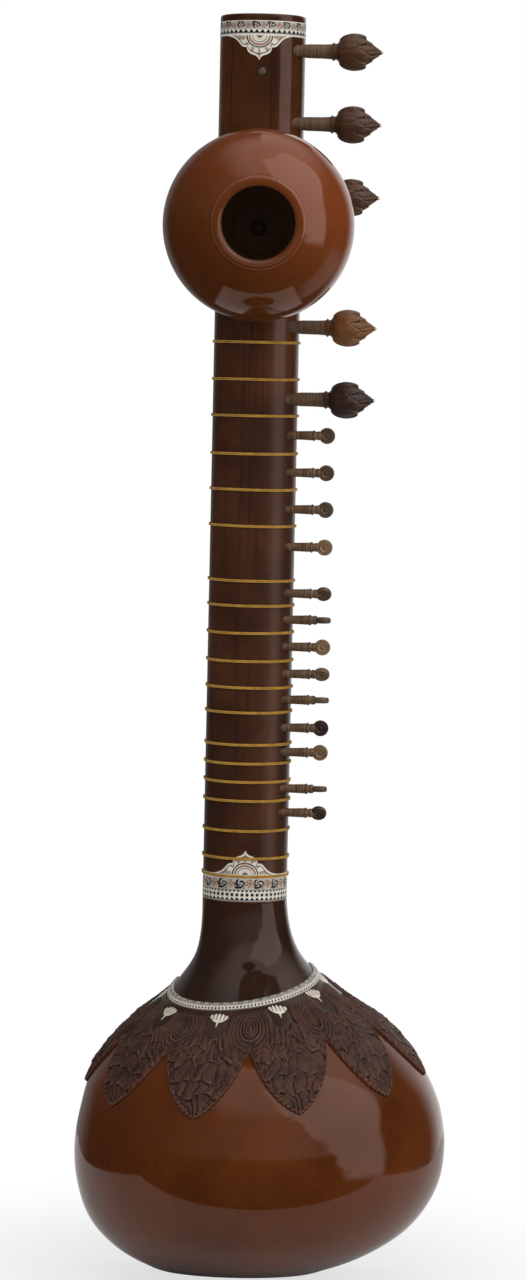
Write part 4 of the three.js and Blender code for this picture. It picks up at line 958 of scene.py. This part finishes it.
# The rod is a half oval arch; two threads run round the back of the neck from foot to foot, and a
# few turns bind them over each foot
def fretPieces(name):
    low, high = corners(name)
    station = (low[2] + high[2]) / 2
    height = faceY + fretShape["stand"]
    sweep = np.linspace(0, np.pi, 41)
    ends = np.clip(np.minimum(np.arange(41), np.arange(41)[::-1]) / 1.5, 0.55, 1)
    arch = pointsOf(fretShape["foot"] * np.cos(sweep), height + fretShape["rise"] * np.sin(sweep), station)
    rod = Form()
    tube(rod, arch, fretShape["radius"] * ends, 16)
    rod.make(name + "_rod", brass, name, replaces=[name], slot="fret_brass", sharp=70)
    ties = Form()
    gap = fretShape["thread"] + seatGap
    beside, over = neckShape["half"] + gap, fretShape["tieEnd"]
    lean, sway = rng.normal(0, 0.25, 4)[:2]
    for side in (-1, 1):
        x, y = backArc(gap, 57)
        x = np.concatenate([[over[0], -beside], x, [beside, -over[0]]])
        y = np.concatenate([[over[1], 0.6], y, [0.6, over[1]]])
        share = np.linspace(-1, 1, len(x))
        z = station + side * fretShape["thread"] * 0.98 + lean * share + sway * np.sin(share * 5) * 0.4
        tube(ties, pointsOf(x, y + faceY, z), fretShape["thread"], 8)
        coil = np.linspace(0, 2 * np.pi * fretShape["turns"], 12 * fretShape["turns"])
        reach = fretShape["radius"] + fretShape["thread"] * 0.8
        x = side * (fretShape["foot"] - 1.2) - side * (coil / coil[-1] - 0.5) * fretShape["coilPitch"]
        climb = 2.2 + 4.5 * (1 - np.abs(x) / fretShape["foot"])
        path = pointsOf(x, height + climb + reach * np.cos(coil), station + reach * np.sin(coil) * 0.95)
        tube(ties, path, fretShape["thread"] * 0.8, 6)
    ties.make(name + "_ties", thread, name, slot="fret_brass", sharp=80)


for name in sorted(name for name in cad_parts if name.startswith("fret_")):
    fretPieces(name)
print("frets tied")


# ---- pegs

bud = {
    "collar": 75, "length": 49, "radius": 19.4, "petals": 8, "rows": 200, "columns": 176,
    # shares of the length and of the radius along the bud, without its petals
    "profile": [[0, 0.40], [0.04, 0.46], [0.09, 0.62], [0.16, 0.75], [0.25, 0.82], [0.38, 0.83],
                [0.52, 0.73], [0.66, 0.54], [0.8, 0.35], [0.92, 0.17], [1, 0.1]],
    # start, end, turn and lift of each tier of petals
    "tiers": [[0.09, 0.46, 0.5, 0.12], [0.07, 0.66, 0, 0.27], [0.3, 0.8, 0.5, 0.2], [0.5, 0.95, 0, 0.12]],
    # distance from the shaft's far end and radius, then distance from the bud's foot and radius
    "farEnd": [[0, 3.5], [0.8, 4.5]],
    "shaft": [[-34, 6.5], [-28, 7.1], [-12, 7.3], [-4.6, 7.7], [-3.4, 8.3], [-2.6, 9.3], [-1.8, 9.4],
              [-0.8, 8.4], [1, 7.7], [3, 6.0]],
    "sideEnd": -31.5, "faceEnd": 45.5,  # from the neck's middle, and behind the fingerboard's face
    "rim": [[0.3, 4.5], [0.05, 4.65], [0.2, 5.0], [0.9, 5.2]],  # depth and radius of the thin ring painted dark as the shade of the gap round the end
}
# how light the wood of each side peg is, and that of the face pegs
sidePegs = {"main_peg_1": 0.22, "main_peg_2": 0.18, "main_peg_3": 0.2, "main_peg_4": 0.75, "main_peg_5": 0.02}
facePegTone = 0.22


# Petals of the lotus: tiers of pointed lenses, each ridged along its middle and lifting to its tip,
# so that a tier stands over the next one. The height is a share of the bud's radius.
def petalHeight(share, angle):
    height = np.zeros(np.broadcast(share, angle).shape)
    for start, end, phase, tip in bud["tiers"]:
        t = np.clip((share - start) / (end - start), 0, 1)
        within = (share >= start) & (share <= end)
        pitch = 2 * np.pi / bud["petals"]
        aside = (np.mod(angle / pitch + phase + 0.5, 1) - 0.5) * pitch
        half = pitch * 0.55 * (1 - t ** 3) ** 0.75 * np.minimum(1, 0.75 + t * 2)
        across = np.abs(aside) / np.maximum(half, 1e-3)
        inside = within & (across < 1)
        keel = np.clip(1 - across, 0, 1)
        lift = 0.045 + tip * t ** 1.9 + 0.05 * keel ** 1.5 + 0.03 * (ridges(across * 15) - 0.5) * (1 - t)
        height = np.where(inside, np.maximum(height, lift * np.minimum(1, keel / 0.14)), height)
    return height


# Points round an axis, from distances along it, radii and angles
def turned(origin, axis, along, radius, angle):
    along, radius, angle = (part[..., None] for part in np.broadcast_arrays(along, radius, angle))
    first = unit(np.cross(axis, [0.0, 0.6, 0.8] if abs(axis[0]) > 0.5 else [1.0, 0.0, 0.0]))
    second = np.cross(axis, first)
    return origin + axis * along + first * (radius * np.cos(angle)) + second * (radius * np.sin(angle))


# A bud of petals on a tapered shaft, with rings at its collar and a white bead at its tip
def lotusPeg(name, axis, foot, farEnd, tone, rim=False):
    form = Form()
    axis = np.array(axis, float)
    low, high = corners(name)
    origin = (low + high) / 2 * (1 - axis)
    angle = fullTurn(bud["columns"])[None]
    share = np.linspace(0, 1, bud["rows"])[:, None] ** 0.96
    knots = np.array(bud["profile"])
    core = curveThrough(knots[:, 0], knots[:, 1:], share[:, 0])
    height = petalHeight(share, angle)
    radius = bud["radius"] * (core + height * np.minimum(1, core * 1.6) * 0.9)
    radius[-1] *= 0.2
    along = foot + share * bud["length"] * 0.96
    form.rings(turned(origin, axis, along, radius, angle), hollow=relief(height, 3), tone=tone)
    angle = fullTurn(40)[None]
    ends = [[farEnd + along, radius] for along, radius in bud["farEnd"]]
    rows = np.array(ends + [[foot + along, radius] for along, radius in bud["shaft"]])
    along = [np.linspace(a, b, 5, endpoint=False) for a, b in zip(rows[:-1, 0], rows[1:, 0])]
    along = np.concatenate(along + [rows[-1:, 0]])[:, None]
    form.rings(turned(origin, axis, along, np.interp(along, *rows.T), angle), tone=tone,
               shaft=1.0 - 0.55 * smoothStep(along - foot, -14, -2))
    if rim:  # a thin ring painted dark, as painted shade of the gap where the end comes through the back
        depth, radius = np.array(bud["rim"]).T[..., None]
        form.rings(turned(origin, axis, farEnd + depth, radius, angle), hollow=-1.0, tone=tone)
    turn = np.linspace(0.1, np.pi - 0.1, 14)[:, None]
    along = foot + bud["length"] * 0.965 - 1.7 * np.cos(turn)
    form.rings(turned(origin, axis, along, 1.9 * np.sin(turn), angle), bead=1.0, tone=tone)
    return form


# Bud wood: brown by its own tone, with painted shade in the clefts and a painted highlight on the petals'
# rims; the shaft is barer
def budFinish():
    paint = Paint("peg wood")
    hollow, tone, shaft, bead = paint.read("hollow", "tone", "shaft", "bead")
    cloud = paint.noise(paint.place, 80, 4, 0.6)
    wood = paint.mix(tone, shade(36, 21, 15), shade(140, 88, 38))
    # painted shade in the clefts and a painted highlight on the ridges, both from the relief
    wood = paint.layers(wood, (paint.ease(cloud, 0.35, 0.7) * 0.45, 78, 48, 34),
                        (paint.ease(hollow * -1, 0.004, 0.05), 12, 7, 5),
                        (paint.ease(hollow, 0.01, 0.06) * 0.45, 122, 88, 66))
    turning = paint.turning(1500, 40)
    bare = paint.mix(paint.ease(turning, 0.35, 0.65), shade(74, 52, 34), shade(108, 82, 58))
    stain = paint.ease(paint.noise(paint.place, 260, 4, 0.7), 0.5, 0.7)
    colour = paint.mix(shaft, wood, paint.layers(bare, (stain * 0.6, 52, 34, 24)))
    return paint.finish(paint.layers(colour, (bead, 222, 216, 200)), 0.36 + shaft * 0.2,
                        turning * shaft + cloud * 0.3, 0.2)


budWood = budFinish()
mainPegs = {name: ((1, 0, 0), bud["collar"], bud["sideEnd"], tone) for name, tone in sidePegs.items()}
for name in ("main_peg_6", "main_peg_7"):
    foot = corners(name)[1][1] - bud["length"]
    mainPegs[name] = ((0, 1, 0), foot, faceY - bud["faceEnd"], facePegTone, True)
for name, place in mainPegs.items():
    lotusPeg(name, *place).make(name + "_lotus", budWood, name, replaces=[name], slot="bud_wood", sharp=60)

spoon = {
    "centre": 75.0, "axisY": 27.0, "rim": 8.5,
    # radius and half thickness of the round head, from its middle to its rim
    "profile": [[0, 3.0], [0.8, 2.9], [1.3, 2.1], [2.4, 1.9], [3.6, 2.0], [4.3, 2.9], [5.0, 3.1],
                [5.5, 2.5], [6.1, 2.3], [6.8, 2.9], [7.6, 2.7], [8.1, 2.0], [8.4, 1.0]],
    # distance from the neck's middle and radius along the shaft
    "shaft": [[20, 2.6], [20.6, 3.6], [41, 4.3], [55.5, 4.7], [56, 5.1], [56.6, 4.7], [57.6, 4.7],
              [58.2, 5.2], [58.8, 4.8], [60.2, 4.8], [61, 5.5], [62, 5.6], [62.8, 4.9], [63.6, 4.2],
              [64.8, 4.2], [66, 4.8], [68.5, 4.4], [70, 3.0]],
    # from the top down, how far each head is turned, in half turns, and how light its wood is
    "heads": [(0, 0.3), (0.04, 0.35), (-0.04, 0.3), (0, 0.9), (0.22, 0.35), (0.5, 0.25), (0, 0.95),
              (0.24, 0.6), (0.46, 0.45), (0, 0.0), (0.03, 0.8), (0.47, 0.3), (0.2, 0.12)],
}


# A turned head: rings, a dish and a middle dot on both faces of a thick disc across the shaft
def spoonPeg(name, turn, tone):
    form = Form()
    low, high = corners(name)
    origin = np.array([0, spoon["axisY"], (low[2] + high[2]) / 2])
    axis = np.array([1.0, 0, 0])
    face = np.array([0, math.cos(turn * math.pi), math.sin(turn * math.pi)])
    table = np.array(spoon["profile"])
    radius = np.concatenate([table[:, 0], [spoon["rim"]], table[::-1, 0]])[:, None]
    thick = np.concatenate([table[:, 1], [0.0], -table[::-1, 1]])[:, None]
    radius[0] = radius[-1] = 0.05
    angle = fullTurn(44)[None]
    disc = axis * np.cos(angle)[..., None] + np.cross(axis, face) * np.sin(angle)[..., None]
    points = origin + axis * spoon["centre"] + face * thick[..., None] + disc * (radius[..., None] * 0.985)
    form.rings(points, tone=tone, ray=radius)
    along, radius = np.array(spoon["shaft"]).T[..., None]
    form.rings(turned(origin, axis, along, radius, angle), tone=tone, shaft=1.0)
    return form


def spoonFinish():
    paint = Paint("small peg wood")
    tone, ray, shaft = paint.read("tone", "ray", "shaft")
    cloud = paint.noise(paint.place, 120, 4, 0.6)
    wood = paint.mix(tone, shade(34, 22, 18), shade(138, 108, 76))
    wood = paint.layers(wood, (paint.ease(cloud, 0.35, 0.7) * 0.5, 72, 50, 36),
                        (paint.between(ray, 1.2, 1.9, 0.2) * 0.75, 18, 12, 10),
                        (paint.between(ray, 5.4, 6.0, 0.2) * 0.6, 24, 15, 12))
    turning = paint.turning(1300, 60)
    bare = paint.mix(paint.ease(turning, 0.35, 0.65), shade(70, 48, 32), shade(112, 86, 62))
    return paint.finish(paint.mix(shaft, wood, bare), 0.4, turning * 0.5 + cloud * 0.4, 0.15)


pegWood = spoonFinish()
for index, head in enumerate(spoon["heads"]):
    name = f"taraf_peg_{index + 1:02d}"
    spoonPeg(name, *head).make(name + "_spoon", pegWood, name, replaces=[name], slot="peg_wood", sharp=60)
print("pegs turned")


# ---- upper gourd

upper = {
    "radius": 96, "halfDepth": 80, "wall": 6, "foot": 12, "footRadius": 24,
    "mouth": 37, "lip": 8, "rise": 2, "hole": 4.6,
    "bellyRows": 90, "lipRows": 26, "innerRows": 50, "columns": 192,
    "flank": [[24, 1.5], [24, 3.2], [21.6, 7.0], [23.5, 11.5]],  # radius and height from foot to belly
}


# A lathe turning: saddle under the foot, waist, round belly, rolled lip and the hollow inside
def upperForm():
    form = Form()
    low, high = corners("upper_gourd")
    axisZ = (low[2] + high[2]) / 2
    backY = faceY - body["neckDepth"]
    centre = upper["foot"] + upper["halfDepth"]
    saddle = np.linspace(upper["hole"], upper["footRadius"], 8)
    first = math.asin(1.25 * upper["footRadius"] / upper["radius"])
    last = math.pi - math.asin((upper["mouth"] + upper["lip"]) / upper["radius"])
    belly = np.linspace(first, last, upper["bellyRows"])
    bellyRadius, bellyHeight = upper["radius"] * np.sin(belly), centre - upper["halfDepth"] * np.cos(belly)
    flank = curveThrough(np.arange(5.0), upper["flank"] + [[bellyRadius[0], bellyHeight[0]]],
                         np.linspace(0, 4, 33))[:-1]
    brow = bellyHeight[-1]
    turn = np.linspace(0, np.pi, upper["lipRows"])
    lipRadius = upper["mouth"] + upper["lip"] / 2 + upper["lip"] / 2 * np.cos(turn)
    lipHeight = brow + (upper["rise"] - 0.2) * np.sin(turn) - 2.2 * (1 - np.cos(turn)) / 2
    lipRadius[:2] += 0.4
    innerBelly = np.linspace(last + 0.07, first, upper["innerRows"])
    innerRadius = (upper["radius"] - upper["wall"]) * np.sin(innerBelly)
    innerHeight = centre - (upper["halfDepth"] - upper["wall"]) * np.cos(innerBelly)
    innerRadius[0] = min(innerRadius[0], upper["mouth"] + 2.5)
    floor = np.linspace(innerRadius[-1] - 3, upper["hole"], 8)
    radius = np.concatenate([saddle, flank[:, 0], bellyRadius, lipRadius, innerRadius, floor])
    height = np.concatenate([0 * saddle, flank[:, 1], bellyHeight, lipHeight, innerHeight,
                             0 * floor + upper["foot"] + upper["wall"]])
    angle = fullTurn(upper["columns"])[None]
    x = radius[:, None] * np.cos(angle)
    hollow = neckShape["round"] * (1 - np.sqrt(1 - np.clip(x / neckShape["half"], -1, 1) ** 2))
    isFoot = (np.arange(len(radius)) < len(saddle))[:, None]
    rise = np.where(isFoot, seatGap - hollow, height[:, None])
    points = np.stack([x, backY - rise, axisZ + radius[:, None] * np.sin(angle)], -1)
    outer = len(saddle) + len(flank) + len(belly) + len(turn) - 1
    inside = (np.arange(len(radius)) >= outer)[:, None]
    form.rings(points, looped=True, ray=radius[:, None], inside=inside * 1.0)
    return form


def upperFinish():
    paint = Paint("upper gourd lacquer shell")
    ray, inside = paint.read("ray", "inside")
    cloud = paint.noise(paint.place, 14, 4, 0.6)
    x, y, z = paint.parts(paint.place)
    front = 1 - paint.ease(y, -0.13, -0.1)
    # painted light: the lacquer grows lighter towards the top and the right, as if lit from there
    colour = paint.mix(paint.ease(z + x * 0.9, 1.0, 1.2), shade(76, 37, 12), shade(118, 58, 28))
    # the pale line and the dark line just outside the lip are a painted highlight and painted shade of the
    # step where the lip meets the belly
    colour = paint.layers(colour, (paint.ease(cloud, 0.4, 0.75) * 0.35, 98, 52, 20),
                          (paint.between(ray, 45.2, 46.4, 0.25) * front * 0.25, 160, 112, 88),
                          (paint.between(ray, 46.6, 47.6, 0.3) * front * 0.5, 46, 22, 10),
                          (inside, 112, 76, 48))
    return paint.finish(colour, 0.07 + inside * 0.5, paint.noise(paint.place, 30, 2, 0.5), 0.22,
                        Specular_IOR_Level=0.7, Specular_Tint=warm)


upperForm().make("upper_bowl", upperFinish(), "upper_gourd", replaces=["upper_gourd"],
                 slot="upper_lacquer", sharp=60)
print("upper gourd turned")


# ---- CAD nodes that keep their own shape

def rosewoodFinish():
    paint = Paint("fingerboard rosewood")
    grain = paint.fibre(260, 260, 9, 5, 0.65, 0.5)
    pores = paint.fibre(1500, 1500, 60, 2)
    colour = paint.mix(paint.ease(grain, 0.35, 0.65), shade(50, 27, 16), shade(82, 46, 26))
    colour = paint.layers(colour, (paint.ease(pores, 0.6, 0.7) * 0.6, 26, 14, 9))
    return paint.finish(colour, grain * 0.1 + 0.2, pores * -1, 0.08)


board = {"foot": 10, "face": 6, "thickness": 4, "crown": 5, "rounding": 0.9, "ringPitch": 0.0042}


# Straight growth rings, with a line of dark and pale inlay along the edge
def spruceFinish():
    paint = Paint("soundboard wood")
    bend = paint.fibre(6, 6, 1.5, 2)
    rings = paint.swing((paint.parts(paint.place)[0] + bend * 0.012) * (2 * math.pi / board["ringPitch"]))
    fibre = paint.fibre(900, 900, 22, 4, 0.6)
    edge = paint.read("edge")
    colour = paint.mix(rings ** 2.0 * 0.6, shade(190, 134, 74), shade(146, 92, 46))
    colour = paint.layers(colour, (paint.ease(fibre, 0.5, 0.75) * 0.4, 118, 72, 36),
                          (paint.between(edge, 4.2, 7.4), 38, 24, 18))
    colour = paint.mix(paint.between(edge, 5.0, 6.6), colour, ivory(paint))
    return paint.finish(colour, fibre * 0.1 + 0.2, fibre, 0.05)


# An arched plate between the bowl's rims; its crown falls to the sides and to both ends
def boardForm():
    form = Form()
    climb = 0.5 - 0.5 * np.cos(np.linspace(0, np.pi, 161))[:, None]
    across = np.sin(np.linspace(np.pi / 2, -np.pi / 2, 91))[None]
    height = board["foot"] + climb * (neckFoot - seatGap - board["foot"])
    halfWidth, shift, depth, centre, front = bodyAt(height)
    half = halfWidth * np.sqrt(1 - ((centre - board["face"] - board["thickness"] / 2) / front) ** 2)
    crown = board["crown"] * (1 - across ** 2) * np.sqrt(np.sin(np.pi * climb).clip(0))
    outline = shift + np.where(across > 0, 1, -1) * half
    slope = np.gradient(outline, axis=0) / np.gradient(height, axis=0)
    edge = np.minimum(half * (1 - np.abs(across)) / np.sqrt(1 + slope ** 2), height - board["foot"])
    share = np.clip(edge / board["rounding"], 0, 1)
    face = faceY - board["face"] + crown - board["rounding"] * (1 - np.sqrt(share * (2 - share)))
    back = faceY - board["face"] - board["thickness"]
    form.slab(*(pointsOf(shift + half * across, y, height) for y in (face, back)), edge=edge)
    return form


steel = metalFinish("nut steel", (58, 48, 40), (104, 92, 80), 0.32)
boardForm().make("soundboard_plate", spruceFinish(), replaces=["soundboard"], slot="soundboard_wood")
kept = {"fingerboard": rosewoodFinish(), "gourd_bolt": steel, "gourd_nut": steel,
        "main_strings": metalFinish("string steel", (160, 160, 162), (208, 208, 208), 0.2),
        "taraf_strings": metalFinish("string bronze", (168, 132, 84), (206, 176, 126), 0.22)}
for name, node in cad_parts.items():
    node.data.materials.clear()
    node.data.materials.append(kept.get(name, bone))
print("CAD nodes finished")


# ---- floor, light and camera

studio = {
    "world": 0.6, "floor": 0.8, "reach": 0.5,
    "left": -0.6, "right": 0.65, "near": -0.3, "far": 0.8,  # edges of the floor, in metres
    # each lamp's place and aim, width and height in metres, and power in watts
    "lamps": {
        "window at the right": ((2.9, -2.2, 2.0), (0, 0, 0.65), 2.0, 3.0, 60),
        "skylight over the camera": ((-0.3, -2.4, 3.4), (0, 0, 0.6), 2.2, 1.4, 26),
    },
}
view = {"lens": 107.8, "sensor": 36, "place": (0.0134, -3.934, 0.9589), "tilt": 85.658, "roll": 1.25}


# The world is white to the camera and even to matt surfaces. Gloss mirrors a studio painted by
# direction: turn is 0 towards the camera and grows to the right, rise is the height, both in degrees.
def background():
    scene.world = bpy.data.worlds.new("studio")
    paint = Paint("studio", scene.world)
    x, y, z = paint.parts(paint.place)
    ragged = (paint.noise(paint.place, 5, 4, 0.6) - 0.5) * 26
    turn = paint.math("ARCTAN2", x, y * -1) * (180 / math.pi)
    rise = paint.math("ARCSINE", z) * (180 / math.pi)
    left = turn + rise * 0.55 + ragged
    spread = paint.ease(rise, 16, 48)
    window = paint.ease(left, 44, 49) * (1 - paint.ease(turn - spread * 20, 75, 81))
    window = window * paint.between(rise, -15, 76, 4) * (spread * 0.2 + 1.4)
    sky = paint.ease(rise + ragged * 0.3, 4, 9) * (1 - paint.ease(turn, 60, 90))
    haze = (paint.ease(turn, -76, 34) * 0.4 + 0.06) * sky
    dome = paint.ease(rise - paint.ease(turn * -1, 10, 80) * 20, 28, 62) * 0.85
    sweep = paint.ease(abs(turn), 122, 150) * paint.between(rise, -24, 34, 12)
    sweep = sweep * (paint.ease(turn, -5, 5) * 0.75 + 0.25)
    wall = paint.between(turn, 92, 130, 8) * paint.between(rise, -54, -16, 8) * 0.4
    room = 0.03
    for light in (window, haze, dome, sweep, wall):
        room = paint.math("MAXIMUM", room, light)
    glossy, seen = rayKind(paint, "Is Glossy Ray"), rayKind(paint, "Is Camera Ray")
    strength = paint.node("Mix", {}, {0: glossy, 2: studio["world"], 3: room})
    paint.feed(paint.shader.inputs["Strength"], paint.node("Mix", {}, {0: seen, 2: strength, 3: 1.0}))
    paint.shader.inputs["Color"].default_value = (1, 1, 1, 1)


def rayKind(paint, kind):
    return paint.node("LightPath", {}, {}, kind)


# A sheet that reaches a little way before the gourd and farther behind it; away from the object it
# turns into plain white
def floorPiece():
    mesh = bpy.data.meshes.new("floor")
    left, right, near, far = (studio[key] for key in ("left", "right", "near", "far"))
    mesh.from_pydata([(left, near, 0), (right, near, 0), (right, far, 0), (left, far, 0)], [], [(0, 1, 2, 3)])
    floor = bpy.data.objects.new("floor", mesh)
    scene.collection.objects.link(floor)
    paint = Paint("pale floor")
    mesh.materials.append(paint.material)
    paint.finish((studio["floor"],) * 3 + (1,), 0.9)
    distance = paint.node("VectorMath", {"operation": "LENGTH"}, {0: paint.place}, "Value")
    close = 1 - paint.ease(distance, 0.15, studio["reach"])
    glow = paint.node("Emission", {}, {"Color": (1, 1, 1, 1), "Strength": 1.0})
    plain = Value(paint, paint.shader.outputs[0])
    share = rayKind(paint, "Is Camera Ray") * (1 - close * 0.3)
    both = paint.node("MixShader", {}, {0: share, 1: plain, 2: glow})
    paint.tree.links.new(both.socket, paint.tree.nodes["Material Output"].inputs["Surface"])


def lamp(name, place, aim, width, height, power):
    data = bpy.data.lights.new(name, "AREA")
    data.shape = "RECTANGLE"
    data.size, data.size_y, data.energy = width, height, power
    piece = bpy.data.objects.new(name, data)
    scene.collection.objects.link(piece)
    piece.location = place
    piece.rotation_euler = (Vector(aim) - Vector(place)).to_track_quat("-Z", "Y").to_euler()
    piece.visible_glossy = False  # gloss mirrors the painted studio instead


background()
floorPiece()
for name, settings in studio["lamps"].items():
    lamp(name, *settings)

camera = bpy.data.objects.new("camera", bpy.data.cameras.new("camera"))
scene.collection.objects.link(camera)
scene.camera = camera
camera.data.lens = view["lens"]
camera.data.sensor_width = view["sensor"]
camera.location = view["place"]
camera.rotation_euler = (Matrix.Rotation(math.radians(view["tilt"]), 4, "X")
                         @ Matrix.Rotation(math.radians(view["roll"]), 4, "Z")).to_euler()
scene.view_settings.view_transform = "Standard"
print("studio set")
